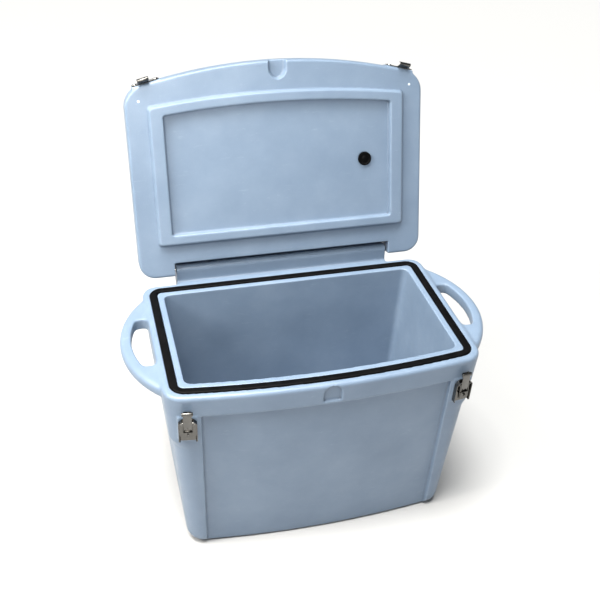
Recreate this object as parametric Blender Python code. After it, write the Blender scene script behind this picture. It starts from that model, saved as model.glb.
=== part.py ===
"""Insulated rotomoulded cool box with a hinged lid, a rim gasket and two stainless toggle latches.

Metres, +Z up. The origin is the centre of the flat base. -Y is the latch side, +Y the hinge side.
The lid stands open on its stop, and both latch levers lie closed.
"""

import math

import bmesh
import bpy
from mathutils import Matrix, Vector

# Body: the rim plane is at RIM_Z, and every draft is the slope of a wall against the vertical.
RIM_Z = 0.391
BAND_HALF_WIDTH = 0.2945
BAND_DRAFT = 0.0755
END_STEP_DEPTH = 0.110
END_STEP_RAMP = 0.014
END_STEP_IN = 0.0055
FRONT_Y = 0.1751
BACK_Y = 0.1740
WALL_DRAFT = 0.0455
FRONT_BOW = 0.0206
BOW_END = 0.0145
BOW_HALF_WIDTH = BAND_HALF_WIDTH - BOW_END
CORNER_R = 0.030
RIM_ROUND = 0.011
BASE_ROUND = 0.022
SKIN = 0.0045

# Recessed panels of the front and the back wall, between the corner posts.
BAND_HEIGHT = 0.045
PANEL_STEP = 0.009
POST_WIDTH = 0.0625
PANEL_HALF_WIDTH = BAND_HALF_WIDTH - POST_WIDTH
PANEL_SIDE_DRAFT = 0.016
PANEL_SLOPE = 0.005
THUMB_HALF_WIDTH = 0.0165
THUMB_TOP = 0.006
THUMB_BOTTOM = 0.036
THUMB_DEPTH = 0.006

# Liner: the hollow that holds the load.
END_WALL = 0.0412
MOUTH_HALF_WIDTH = BAND_HALF_WIDTH - END_WALL
MOUTH_HALF_DEPTH = 0.1349
MOUTH_R = 0.012
MOUTH_ROUND = 0.003
LINER_DRAFT = 0.075
FLOOR_Z = 0.045
FLOOR_ROUND = 0.018

# Gasket in its groove round the mouth.
GASKET_END = 0.0145
GASKET_HALF_WIDTH = BAND_HALF_WIDTH - GASKET_END
GASKET_HALF_DEPTH = 0.1616
GASKET_WIDTH = 0.0147
GASKET_R = 0.024
GASKET_PROUD = 0.0022
GROOVE_DEPTH = 0.006

# Grab handles, one on each end: a bar on an arc, moulded with the body.
HANDLE_OUT = 0.0565
HANDLE_REACH = BAND_HALF_WIDTH + HANDLE_OUT
HANDLE_CHORD = 0.152
HANDLE_BAR = 0.021
HANDLE_TOP = 0.004
HANDLE_THICK = 0.024
FINGER_HALF_LENGTH = 0.070
HANDLE_ROUND = 0.007

# Hinge: a moulded hump on the back of the rim, and a rod through the hump and the lid.
HINGE_Y = 0.1902
HINGE_RISE = 0.0215
HUMP_END = 0.074
HUMP_HALF_WIDTH = BAND_HALF_WIDTH - HUMP_END
HUMP_R = 0.0100
HUMP_BACK_Y = 0.2120
HUMP_DROP = 0.045
ROD_R = 0.003
ROD_BORE_GAP = 0.0004
ROD_CAP_R = 0.005
ROD_CAP_LENGTH = 0.004
ROD_CAP_DEPTH = 0.0245
ROD_CAP_SEAT = BAND_HALF_WIDTH - ROD_CAP_DEPTH

# Lid, in its closed place over the rim.
LID_OPEN_DEG = 105.1
LID_GAP = 0.0027
LID_THICK = 0.044
LID_END = 0.0019
LID_HALF_WIDTH = BAND_HALF_WIDTH - LID_END
LID_FRONT_Y = 0.1669
LID_FRONT_BOW = 0.0419
LID_BACK_Y = 0.199
LID_R = 0.032
LID_TOP_ROUND = 0.014
LID_EDGE_ROUND = 0.005
LID_NOTCH_GAP = 0.003
LID_NOTCH_Y = 0.171
LID_SKIN = 0.0045
PLUG_CLEARANCE = 0.0045
PLUG_DEPTH = 0.010
PLUG_SLOPE = 0.003
RECESS_END = 0.0287
RECESS_HALF_WIDTH = MOUTH_HALF_WIDTH - RECESS_END
RECESS_HALF_DEPTH = 0.113
RECESS_SLOPE = 0.004
LID_THUMB_R = 0.0205
LID_THUMB_DEPTH = 0.010
LID_THUMB_END = -0.171

# Foam fill holes and their push-in plugs.
FILL_R = 0.0115
FILL_HEAD_R = 0.0135
FILL_HEAD = 0.002
BODY_FILL_X = 0.150
LID_FILL_X = 0.1725
LID_FILL_Y = -0.0072

# Toggle latch, in its own frame: x across, y up the wall, z out from the seat.
LATCH_END = 0.039
LATCH_X = BAND_HALF_WIDTH - LATCH_END
LATCH_DROP = 0.070
SEAT_PROUD = 0.0015
SEAT_MARGIN = 0.0015
PLATE_WIDTH = 0.033
PLATE_HEIGHT = 0.052
PLATE_CHAMFER = 0.008
SHEET = 0.0015
CHEEK_HEIGHT = 0.009
LEVER_WIDTH = 0.019
LEVER_WINDOW = 0.002
LEVER_BOTTOM = -0.018
LEVER_EYE_R = 0.0034
LEVER_RISE = 0.0095
LIP_REACH = 0.007
PIVOT_Y = 0.018
PIVOT_Z = 0.0055
PIVOT_R = 0.00175
CRANK = 0.006
CRANK_IN = 0.0013
CLAW_PIN_R = 0.0015
CLAW_SIDE_GAP = 0.001
CLAW_WIDTH = LEVER_WIDTH - 2 * SHEET - 2 * CLAW_SIDE_GAP
CLAW_HEAD_EXTRA = 0.008
CLAW_HEAD_WIDTH = CLAW_WIDTH + CLAW_HEAD_EXTRA
CLAW_TOP = 0.045
CLAW_HEAD = 0.006
CLAW_TIP_Z = 0.0026
STAPLE_Y = -0.0032
STAPLE_WIDTH = 0.005
STAPLE_TOP = 0.0155
SLOT_WIDTH = 0.0044
SLOT_LENGTH = 0.0085
RIVET_R = 0.0022
RIVET_HEAD_R = 0.0040
RIVET_HEAD = 0.0014
RIVET_LENGTH = 0.0045
RIVET_ROWS = (("top", 0.0045), ("low", -0.0165))

# Relief in the front band above each latch.
RELIEF_HALF_WIDTH = 0.009
RELIEF_TOP = 0.003
RELIEF_LOW = 0.022
RELIEF_DEPTH = 0.003

# Keeper on the lid front, hooked by the claw.
KEEPER_END = 0.0455
KEEPER_X = BAND_HALF_WIDTH - KEEPER_END
KEEPER_WIDTH = 0.052
KEEPER_HEIGHT = 0.022
KEEPER_CORNER = 0.005
KEEPER_RISE = 0.016
KEEPER_RIVET_X = 0.020
HOOK_WIDTH = 0.022
HOOK_SHIFT = 0.004
HOOK_REACH = 0.0112
HOOK_DROP = 0.024

GAP = 0.0003
CUT_PAST = 0.010
BOW_POINTS = 12
CORNER_POINTS = 5


# ---------------------------------------------------------------- scene and materials

for old in list(bpy.data.objects):
    bpy.data.objects.remove(old, do_unlink=True)

parts = bpy.data.collections.new("cool_box")
cutters = bpy.data.collections.new("cutters")
for collection in (parts, cutters):
    bpy.context.scene.collection.children.link(collection)


def material(name, colour, roughness, metallic=0.0):
    made = bpy.data.materials.new(name)
    made.use_nodes = True
    shader = made.node_tree.nodes["Principled BSDF"]
    shader.inputs["Base Color"].default_value = (*colour, 1.0)
    shader.inputs["Roughness"].default_value = roughness
    shader.inputs["Metallic"].default_value = metallic
    return made


PLASTIC = material("moulded_polyethylene", (0.33, 0.42, 0.53), 0.45)
RUBBER = material("black_rubber", (0.012, 0.012, 0.013), 0.6)
FOAM = material("insulating_foam", (0.80, 0.72, 0.48), 0.9)
STEEL = material("stainless_steel", (0.62, 0.61, 0.59), 0.28, 1.0)


# ---------------------------------------------------------------- making solids

def add(name, mesh_maker, paint=None, parent=None, matrix=None):
    """A named object from a filled bmesh. Without paint it is a cutter."""
    mesh = bpy.data.meshes.new(name)
    mesh_maker.to_mesh(mesh)
    mesh_maker.free()
    made = bpy.data.objects.new(name, mesh)
    if paint:
        mesh.materials.append(paint)
        mesh.shade_smooth()
        mesh.set_sharp_from_angle(angle=math.radians(30))
        parts.objects.link(made)
    else:
        made.hide_render = True
        made.display_type = "WIRE"
        cutters.objects.link(made)
    made.parent = parent
    if matrix:
        made.matrix_local = matrix
    return made


def boolean(target, other, operation="DIFFERENCE"):
    step = target.modifiers.new(other.name, "BOOLEAN")
    step.object = other
    step.operation = operation
    step.solver = "EXACT"


def loft(levels):
    """A closed solid through level outlines of equal length, each (z, points)."""
    mesh = bmesh.new()
    rings = [[mesh.verts.new((x, y, z)) for x, y in points] for z, points in levels]
    for low, high in zip(rings, rings[1:]):
        for i in range(len(low)):
            j = (i + 1) % len(low)
            mesh.faces.new((low[i], low[j], high[j], high[i]))
    mesh.faces.new(reversed(rings[0]))
    mesh.faces.new(rings[-1])
    bmesh.ops.recalc_face_normals(mesh, faces=mesh.faces)
    return mesh


def ribbon(path, thick):
    """The outline of a bent strip of one thickness that follows a path of (a, b) points."""
    path = [Vector(point) for point in path]
    steps = [(b - a).normalized() for a, b in zip(path, path[1:])]
    left, right = [], []
    for i, point in enumerate(path):
        before, after = steps[max(i - 1, 0)], steps[min(i, len(steps) - 1)]
        along = (before + after).normalized()
        across = Vector((-along.y, along.x)) * thick / 2 / along.dot(before)
        left.append(tuple(point + across))
        right.append(tuple(point - across))
    return left + right[::-1]


def block(low, high):
    mesh = bmesh.new()
    bmesh.ops.create_cube(mesh, size=1.0)
    size = Vector(high) - Vector(low)
    bmesh.ops.scale(mesh, vec=size, verts=mesh.verts)
    bmesh.ops.translate(mesh, vec=(Vector(high) + Vector(low)) / 2, verts=mesh.verts)
    return mesh


def cylinder(radius, low, high, axis="Z", segments=24, centre=(0.0, 0.0)):
    """A cylinder along one axis, from low to high, centred on the other two in order."""
    mesh = bmesh.new()
    bmesh.ops.create_cone(mesh, cap_ends=True, segments=segments, radius1=radius,
                          radius2=radius, depth=high - low)
    bmesh.ops.translate(mesh, vec=(0, 0, (high + low) / 2), verts=mesh.verts)
    if axis == "X":
        bmesh.ops.rotate(mesh, matrix=Matrix.Rotation(math.pi / 2, 3, "Y"), verts=mesh.verts)
        shift = (0, centre[0], centre[1])
    elif axis == "Y":
        bmesh.ops.rotate(mesh, matrix=Matrix.Rotation(-math.pi / 2, 3, "X"), verts=mesh.verts)
        shift = (centre[0], 0, centre[1])
    else:
        shift = (centre[0], centre[1], 0)
    bmesh.ops.translate(mesh, vec=shift, verts=mesh.verts)
    return mesh


def prism(points, low, high, axis="Z"):
    """A flat outline given as (a, b) pairs, extruded along the axis from low to high."""
    place = {"Z": lambda a, b, c: (a, b, c), "X": lambda a, b, c: (c, a, b),
             "Y": lambda a, b, c: (a, c, b)}[axis]
    mesh = bmesh.new()
    face = mesh.faces.new([mesh.verts.new(place(a, b, low)) for a, b in points])
    grown = bmesh.ops.extrude_face_region(mesh, geom=[face])
    moved = [item for item in grown["geom"] if isinstance(item, bmesh.types.BMVert)]
    step = Vector(place(0, 0, high)) - Vector(place(0, 0, low))
    bmesh.ops.translate(mesh, vec=step, verts=moved)
    bmesh.ops.recalc_face_normals(mesh, faces=mesh.faces)
    return mesh


def arc(centre, radius, start, end, steps):
    """Points on an arc, with its angles in degrees."""
    angles = (math.radians(start + (end - start) * i / steps) for i in range(steps + 1))
    return [(centre[0] + radius * math.cos(a), centre[1] + radius * math.sin(a)) for a in angles]


def outline(half_width, front, back, radius, bow=FRONT_BOW, bow_half=BOW_HALF_WIDTH):
    """A rounded rectangle whose -Y side bows outwards, anticlockwise from the right side."""
    def bowed(x):
        return -front - bow * (1 - (x / bow_half) ** 2)

    tilt = 0.0
    for _ in range(4):
        end_x = half_width - radius + radius * math.sin(tilt)
        tilt = math.atan(2 * bow * end_x / bow_half ** 2)
    centre_y = bowed(end_x) + radius * math.cos(tilt)
    turn = math.degrees(tilt)
    right = half_width - radius
    points = arc((right, back - radius), radius, 0, 90, CORNER_POINTS)
    points += arc((-right, back - radius), radius, 90, 180, CORNER_POINTS)
    points += arc((-right, centre_y), radius, 180, 270 - turn, CORNER_POINTS)
    for i in range(1, BOW_POINTS):
        x = -end_x + 2 * end_x * i / BOW_POINTS
        points.append((x, bowed(x)))
    points += arc((right, centre_y), radius, -90 + turn, 0, CORNER_POINTS)
    return points


def rounding(radius, steps=4):
    """(inset, height) pairs of a quarter round, from its widest point to its end."""
    quarter = (math.pi / 2 * i / steps for i in range(steps + 1))
    return [(radius * (1 - math.cos(a)), radius * math.sin(a)) for a in quarter]


# ---------------------------------------------------------------- body shell

def body_widths(z, inset=0.0, upper=None):
    """Half width, front and back of the outer wall at a height."""
    drop = RIM_Z - z
    upper = drop <= END_STEP_DEPTH if upper is None else upper
    half = BAND_HALF_WIDTH - BAND_DRAFT * drop - (0 if upper else END_STEP_IN)
    return (half - inset, FRONT_Y - WALL_DRAFT * drop - inset, BACK_Y - WALL_DRAFT * drop - inset,
            max(CORNER_R - inset, 0.004))


def body_solid(inset=0.0, low=0.0, top=RIM_Z):
    """The outer form, or a smaller one inset from it."""
    base_round, rim_round = BASE_ROUND - min(inset, 0.012), max(RIM_ROUND - inset, 0.004)
    levels = [(low + base_round - h, outline(*body_widths(low + base_round, inset + i)))
              for i, h in reversed(rounding(base_round))]
    step_low = RIM_Z - END_STEP_DEPTH - END_STEP_RAMP - inset
    levels.append((step_low, outline(*body_widths(step_low, inset))))
    step_top = RIM_Z - END_STEP_DEPTH - inset
    levels.append((step_top, outline(*body_widths(step_top, inset, upper=True))))
    levels += [(top - rim_round + h, outline(*body_widths(top - rim_round, inset + i)))
               for i, h in rounding(rim_round)]
    return loft(levels)


def liner_solid(grow=0.0, top=RIM_Z):
    """The hollow, or a larger form round it; its walls draft inwards towards the floor."""
    def level(z, inset=0.0):
        less = LINER_DRAFT * (RIM_Z - z) + inset - grow
        return (z, outline(MOUTH_HALF_WIDTH - less, MOUTH_HALF_DEPTH - less,
                           MOUTH_HALF_DEPTH - less, max(MOUTH_R + grow, 0.004)))

    floor = FLOOR_Z - grow
    levels = [(floor + FLOOR_ROUND - h, level(floor + FLOOR_ROUND, i)[1])
              for i, h in reversed(rounding(FLOOR_ROUND))]
    if grow:
        return loft(levels + [level(top)])
    levels += [(RIM_Z - MOUTH_ROUND + h, level(RIM_Z - MOUTH_ROUND, -i)[1])
               for i, h in rounding(MOUTH_ROUND, 3)]
    past = (RIM_Z + CUT_PAST, levels[-1][1])
    return loft(levels + [past])


def ring_solid(outer, inner, low, high):
    """A band between two outlines: the gasket, or the cutter of its groove."""
    mesh = bmesh.new()
    loops = [[mesh.verts.new((x, y, z)) for x, y in points]
             for points, z in ((outer, low), (outer, high), (inner, high), (inner, low))]
    for a, b in zip(loops, loops[1:] + loops[:1]):
        for i in range(len(a)):
            j = (i + 1) % len(a)
            mesh.faces.new((a[i], a[j], b[j], b[i]))
    bmesh.ops.recalc_face_normals(mesh, faces=mesh.faces)
    return mesh


def gasket_ring(spare, low, high):
    def at(inset):
        return outline(GASKET_HALF_WIDTH - inset, GASKET_HALF_DEPTH - inset,
                       GASKET_HALF_DEPTH - inset, GASKET_R - inset)

    return ring_solid(at(-spare), at(GASKET_WIDTH + spare), low, high)


def front_panel_cutter(grow=0.0):
    """What lies in front of the recessed panel: bowed like the wall, with sloping sides."""
    levels = []
    for z in (-CUT_PAST, RIM_Z - BAND_HEIGHT + grow):
        front = body_widths(z)[1] - PANEL_STEP - grow
        half = PANEL_HALF_WIDTH - PANEL_SIDE_DRAFT * (RIM_Z - BAND_HEIGHT - z) + grow
        points = []
        for i in range(BOW_POINTS + 1):
            x = (half - PANEL_SLOPE) * (1 - 2 * i / BOW_POINTS)
            points.append((x, -front - FRONT_BOW * (1 - (x / BOW_HALF_WIDTH) ** 2)))
        reach = half + PANEL_SLOPE * 3
        far = -front - FRONT_BOW - 4 * PANEL_STEP
        points += [(-half, points[-1][1] - PANEL_STEP), (-reach, far), (reach, far),
                   (half, points[0][1] - PANEL_STEP)]
        levels.append((z, points))
    return loft(levels)


def back_panel_cutter(grow=0.0):
    levels = []
    for z in (-CUT_PAST, RIM_Z - BAND_HEIGHT - HUMP_DROP + grow):
        back = body_widths(z)[2] - PANEL_STEP - grow
        half = PANEL_HALF_WIDTH - PANEL_SIDE_DRAFT * (RIM_Z - BAND_HEIGHT - z) + grow
        reach = half + PANEL_SLOPE * 3
        levels.append((z, [(half - PANEL_SLOPE, back), (half, back + PANEL_STEP),
                           (reach, back + 4 * PANEL_STEP), (-reach, back + 4 * PANEL_STEP),
                           (-half, back + PANEL_STEP), (-half + PANEL_SLOPE, back)]))
    return loft(levels)


def handle_outline(reach, chord):
    """The plan of one handle: a circular arc from wall to wall, closed inside the body."""
    wall = BAND_HALF_WIDTH - RIM_ROUND - 0.003
    rise = reach - wall
    radius = (chord ** 2 + rise ** 2) / (2 * rise)
    half_angle = math.degrees(math.asin(chord / radius))
    return arc((reach - radius, 0), radius, -half_angle, half_angle, 18)


def handle_solid():
    top, low = RIM_Z - HANDLE_TOP, RIM_Z - HANDLE_TOP - HANDLE_THICK
    levels = []
    for inset, height in reversed(rounding(HANDLE_ROUND, 3)):
        plan = handle_outline(HANDLE_REACH - inset, HANDLE_CHORD - inset)
        levels.append((low + HANDLE_ROUND - height, plan))
    for inset, height in rounding(HANDLE_ROUND, 3):
        plan = handle_outline(HANDLE_REACH - inset, HANDLE_CHORD - inset)
        levels.append((top - HANDLE_ROUND + height, plan))
    return loft(levels)


def finger_gap_solid():
    """The hand hole of one handle, flared at its top and bottom edges."""
    wall = BAND_HALF_WIDTH - BAND_DRAFT * (HANDLE_TOP + HANDLE_THICK / 2)
    inner_reach = HANDLE_REACH - HANDLE_BAR
    rise = HANDLE_REACH - (BAND_HALF_WIDTH - RIM_ROUND - 0.003)
    radius = (HANDLE_CHORD ** 2 + rise ** 2) / (2 * rise) - HANDLE_BAR
    centre_x = inner_reach - radius

    def plan(grow):
        half = FINGER_HALF_LENGTH + grow
        bend = math.degrees(math.asin(half / (radius + grow)))
        outer = arc((centre_x, 0), radius + grow, -bend, bend, 14)
        side = 0.004
        return outer + [(wall + side, half + 0.0015), (wall, half - side),
                        (wall, side - half), (wall + side, -half - 0.0015)]

    top, low = RIM_Z - HANDLE_TOP, RIM_Z - HANDLE_TOP - HANDLE_THICK
    flare = HANDLE_ROUND / 2
    return loft([(low - CUT_PAST, plan(flare)), (low, plan(flare)), (low + flare, plan(0)),
                 (top - flare, plan(0)), (top, plan(flare)), (top + CUT_PAST, plan(flare))])


def hump_profile():
    """Side view (y, z) of the hinge hump: a round nose about the rod, and a rib behind as lid stop."""
    axis_z = RIM_Z + HINGE_RISE
    nose = arc((HINGE_Y, axis_z), HUMP_R, 180, 60, 8)
    root_z = RIM_Z - HUMP_DROP
    root_y = BACK_Y - WALL_DRAFT * HUMP_DROP - 2 * SKIN
    flat_z = RIM_Z - GAP
    return nose + [(HUMP_BACK_Y - 0.006, axis_z + HUMP_R * 0.55), (HUMP_BACK_Y - 0.004, stop_height()),
                   (HUMP_BACK_Y, stop_height()), (HUMP_BACK_Y, RIM_Z - 0.006),
                   (BACK_Y - WALL_DRAFT * HUMP_DROP, root_z), (root_y, root_z),
                   (root_y, flat_z), (HINGE_Y - HUMP_R - 0.001, flat_z)]


def stop_height():
    """Where the open lid's notch wall meets the rib, less a gap."""
    turn = math.radians(LID_OPEN_DEG)
    up = HINGE_Y - LID_NOTCH_Y
    along = Vector((-math.cos(turn), math.sin(turn)))
    back = Vector((math.sin(turn), math.cos(turn)))
    wall_start = Vector((HINGE_Y, RIM_Z + HINGE_RISE)) + up * along
    reach = (HUMP_BACK_Y - wall_start.x) / back.x
    return wall_start.y + reach * back.y - 2 * GAP


# ---------------------------------------------------------------- frames

def wall_frame(x, front, drop, bow, bow_half, draft):
    """Seat frame on a bowed wall at x: x across, y up the wall, z outwards."""
    slope = 2 * bow * x / bow_half ** 2
    y = -(front - draft * drop) - bow * (1 - (x / bow_half) ** 2)
    out = Vector((slope, -1.0, -draft)).normalized()
    across = Vector((1.0, slope, 0.0)).normalized()
    up = out.cross(across)
    matrix = Matrix((across, up, out)).transposed().to_4x4()
    matrix.translation = Vector((x, y, -drop)) + SEAT_PROUD * out
    return matrix


def empty(name, matrix=None, parent=None):
    made = bpy.data.objects.new(name, None)
    parts.objects.link(made)
    made.parent = parent
    made.matrix_local = matrix or Matrix.Identity(4)
    return made


def latch_frame(side):
    frame = wall_frame(side * LATCH_X, FRONT_Y, LATCH_DROP, FRONT_BOW, BOW_HALF_WIDTH, WALL_DRAFT)
    frame.translation.z += RIM_Z
    return frame


def keeper_frame(side):
    """Seat frame on the lid front, in the closed lid's frame."""
    return wall_frame(side * KEEPER_X, LID_FRONT_Y, -LID_GAP - KEEPER_RISE, LID_FRONT_BOW,
                      LID_HALF_WIDTH, 0.0)


def side_word(side):
    return "left" if side < 0 else "right"


# ---------------------------------------------------------------- small hardware

def rivet(head_z, centre):
    """A domed rivet whose head sits on head_z and whose shank runs down into the wall."""
    x, y = centre
    dome = [(RIVET_HEAD_R, head_z), (RIVET_HEAD_R * 0.86, head_z + RIVET_HEAD * 0.55),
            (RIVET_HEAD_R * 0.5, head_z + RIVET_HEAD * 0.92), (0.0006, head_z + RIVET_HEAD)]
    shank = [(RIVET_R, head_z - RIVET_LENGTH), (RIVET_R, head_z)]
    return loft([(z, arc((x, y), r, 0, 330, 11)) for r, z in shank + dome])


def riveted(name, wall, sheet, centre, face, parent, frame):
    """A rivet through a sheet into a wall, with its holes."""
    for target in (wall, sheet):
        hole = cylinder(RIVET_R + GAP, face - RIVET_LENGTH - GAP, CUT_PAST, segments=12, centre=centre)
        boolean(target, add(f"{name}_hole_in_{target.name}", hole, None, parent, frame))
    add(name, rivet(face + GAP, centre), STEEL, parent, frame)


def fill_plug(name, centre, parent=None, matrix=None):
    """A push-in rubber plug, flush in its seat, whose shank is as long as the skin is thick."""
    profile = [(FILL_HEAD_R - 0.001, 0.0002), (FILL_HEAD_R, 0.0008), (FILL_HEAD_R, FILL_HEAD),
               (FILL_R - GAP, FILL_HEAD), (FILL_R - GAP, SKIN)]
    return add(name, loft([(z, arc(centre, r, 0, 345, 23)) for r, z in profile]), RUBBER, parent,
               matrix)


def fill_hole_cutters(centre):
    hole = cylinder(FILL_R, -CUT_PAST, SKIN + FILL_HEAD, centre=centre)
    seat = cylinder(FILL_HEAD_R + GAP, -CUT_PAST, FILL_HEAD + GAP, centre=centre)
    return (("fill_hole", hole), ("fill_seat", seat))


# ---------------------------------------------------------------- pieces of the body

def foam_form(name, less, paint=None):
    """The foam between the skins, as the cutter of the hollow or, less a gap, as the core itself."""
    inset = SKIN + less
    form = add(name, body_solid(inset, inset, RIM_Z - GROOVE_DEPTH - inset), paint)
    boolean(form, add(f"{name}_liner", liner_solid(inset, RIM_Z + CUT_PAST)))
    boolean(form, add(f"{name}_front", front_panel_cutter(inset)))
    boolean(form, add(f"{name}_back", back_panel_cutter(inset)))
    boolean(form, add(f"{name}_thumb", thumb_scoop(inset)))
    return form


def build_body():
    shell = add("body_shell", body_solid(), PLASTIC)
    turns = {side: Matrix.Rotation(0.0 if side > 0 else math.pi, 4, "Z") for side in (-1, 1)}
    for side, turn in turns.items():
        boolean(shell, add(f"handle_{side}", handle_solid(), matrix=turn), "UNION")
    hump = add("hump", prism(hump_profile(), -HUMP_HALF_WIDTH, HUMP_HALF_WIDTH, "X"))
    boolean(shell, hump, "UNION")
    half_x, half_y = PLATE_WIDTH / 2 + SEAT_MARGIN, PLATE_HEIGHT / 2 + SEAT_MARGIN
    for side in (-1, 1):
        seat = block((-half_x, -half_y, -0.008), (half_x, half_y, 0))
        boolean(shell, add(f"latch_seat_{side}", seat, matrix=latch_frame(side)), "UNION")
    for side, turn in turns.items():
        boolean(shell, add(f"finger_gap_{side}", finger_gap_solid(), matrix=turn))
    boolean(shell, add("front_panel", front_panel_cutter()))
    boolean(shell, add("back_panel", back_panel_cutter()))
    boolean(shell, add("thumb_scoop", thumb_scoop()))
    for side in (-1, 1):
        relief = block((-RELIEF_HALF_WIDTH, LATCH_DROP - RELIEF_LOW, -RELIEF_DEPTH - SEAT_PROUD),
                       (RELIEF_HALF_WIDTH, LATCH_DROP - RELIEF_TOP, CUT_PAST))
        boolean(shell, add(f"relief_{side}", relief, matrix=latch_frame(side)))
    boolean(shell, foam_form("foam_space", 0.0))
    boolean(shell, add("liner", liner_solid()))
    for name, cutter in fill_hole_cutters((BODY_FILL_X, 0)):
        boolean(shell, add(f"base_{name}", cutter))
    foam_form("body_foam_core", GAP, FOAM)
    fill_plug("base_fill_plug", (BODY_FILL_X, 0))

    groove_floor = RIM_Z - GROOVE_DEPTH
    boolean(shell, add("gasket_groove", gasket_ring(GAP, groove_floor, RIM_Z + CUT_PAST)))
    add("rim_gasket", gasket_ring(0.0, groove_floor + GAP, RIM_Z + GASKET_PROUD), RUBBER)

    axis = (HINGE_Y, RIM_Z + HINGE_RISE)
    bore_half = HUMP_HALF_WIDTH + CUT_PAST
    bore = cylinder(ROD_R + ROD_BORE_GAP, -bore_half, bore_half, "X", centre=axis)
    boolean(shell, add("rod_bore", bore))
    rod_half = ROD_CAP_SEAT - GAP
    add("hinge_rod", cylinder(ROD_R, -rod_half, rod_half, "X", centre=axis), STEEL)
    return shell


def thumb_scoop(grow=0.0):
    """A round-ended scoop in the front band, under the lid's overhang."""
    r = THUMB_HALF_WIDTH + grow
    low, high = RIM_Z - THUMB_BOTTOM - grow, RIM_Z - THUMB_TOP + grow
    face = FRONT_Y + FRONT_BOW
    levels = []
    for out, shrink in ((face - THUMB_DEPTH - grow, 0.004), (face + CUT_PAST, -0.002)):
        size = r - shrink
        points = arc((0, low + r), size, 180, 360, 10) + arc((0, high - r * 0.8), size, 0, 180, 10)
        levels.append((out, points))
    mesh = loft(levels)
    bmesh.ops.rotate(mesh, matrix=Matrix.Rotation(math.pi / 2, 3, "X"), verts=mesh.verts)
    return mesh


# ---------------------------------------------------------------- lid, in its closed place

def lid_outline(inset):
    return outline(LID_HALF_WIDTH - inset, LID_FRONT_Y - inset, LID_BACK_Y - inset,
                   max(LID_R - inset, 0.004), LID_FRONT_BOW, LID_HALF_WIDTH)


def lid_solid():
    low, top = LID_GAP, LID_GAP + LID_THICK
    levels = [(low + LID_EDGE_ROUND - height, lid_outline(inset))
              for inset, height in reversed(rounding(LID_EDGE_ROUND, 3))]
    levels += [(top - LID_TOP_ROUND + height, lid_outline(inset))
               for inset, height in rounding(LID_TOP_ROUND)]
    return loft(levels)


def plug_solid():
    """The raised frame under the lid, which drops into the mouth."""
    def plan(more):
        half_depth = MOUTH_HALF_DEPTH - PLUG_CLEARANCE + more
        return outline(MOUTH_HALF_WIDTH - PLUG_CLEARANCE + more, half_depth, half_depth, MOUTH_R)

    face = LID_GAP - PLUG_DEPTH
    return loft([(face, plan(-0.0015)), (face + 0.0015, plan(0)), (LID_GAP, plan(PLUG_SLOPE)),
                 (LID_GAP + LID_SKIN, plan(PLUG_SLOPE))])


def recess_solid():
    """The shallow recess inside the frame, whose walls slope in to its floor."""
    def plan(more):
        half_depth = RECESS_HALF_DEPTH + more
        return outline(RECESS_HALF_WIDTH + more, half_depth, half_depth, MOUTH_R)

    face = LID_GAP - PLUG_DEPTH
    return loft([(face - CUT_PAST, plan(0.0)), (face, plan(0.0)), (LID_GAP, plan(-RECESS_SLOPE))])


def lid_thumb_scoop(grow=0.0):
    """A U-shaped scoop under the lid's front edge, for the fingers that lift it."""
    front = LID_FRONT_Y + LID_FRONT_BOW + CUT_PAST

    def plan(more):
        half = LID_THUMB_R + more
        return [(half, -front)] + arc((0, LID_THUMB_END - LID_THUMB_R), half, 0, 180, 12) + [(-half, -front)]

    return loft([(LID_GAP - CUT_PAST, plan(grow)), (LID_GAP, plan(grow)),
                 (LID_GAP + LID_THUMB_DEPTH + grow, plan(grow - LID_THUMB_DEPTH * 0.6))])


def lid_foam_form(name, less, paint, parent, matrix):
    """The lid's hollow: inside its skin, short of the notch and the knuckles."""
    inset = LID_TOP_ROUND + LID_SKIN + less
    low, top = LID_GAP + LID_SKIN + less, LID_GAP + LID_THICK - LID_SKIN - less
    back = LID_NOTCH_Y - 2 * LID_SKIN - less
    points = outline(LID_HALF_WIDTH - inset, LID_FRONT_Y - inset, back, LID_TOP_ROUND,
                     LID_FRONT_BOW, LID_HALF_WIDTH)
    form = add(name, loft([(low, points), (top, points)]), paint, parent, matrix)
    scoop = lid_thumb_scoop(LID_SKIN + less)
    boolean(form, add(f"{name}_scoop", scoop, None, parent, matrix))
    return form


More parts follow.
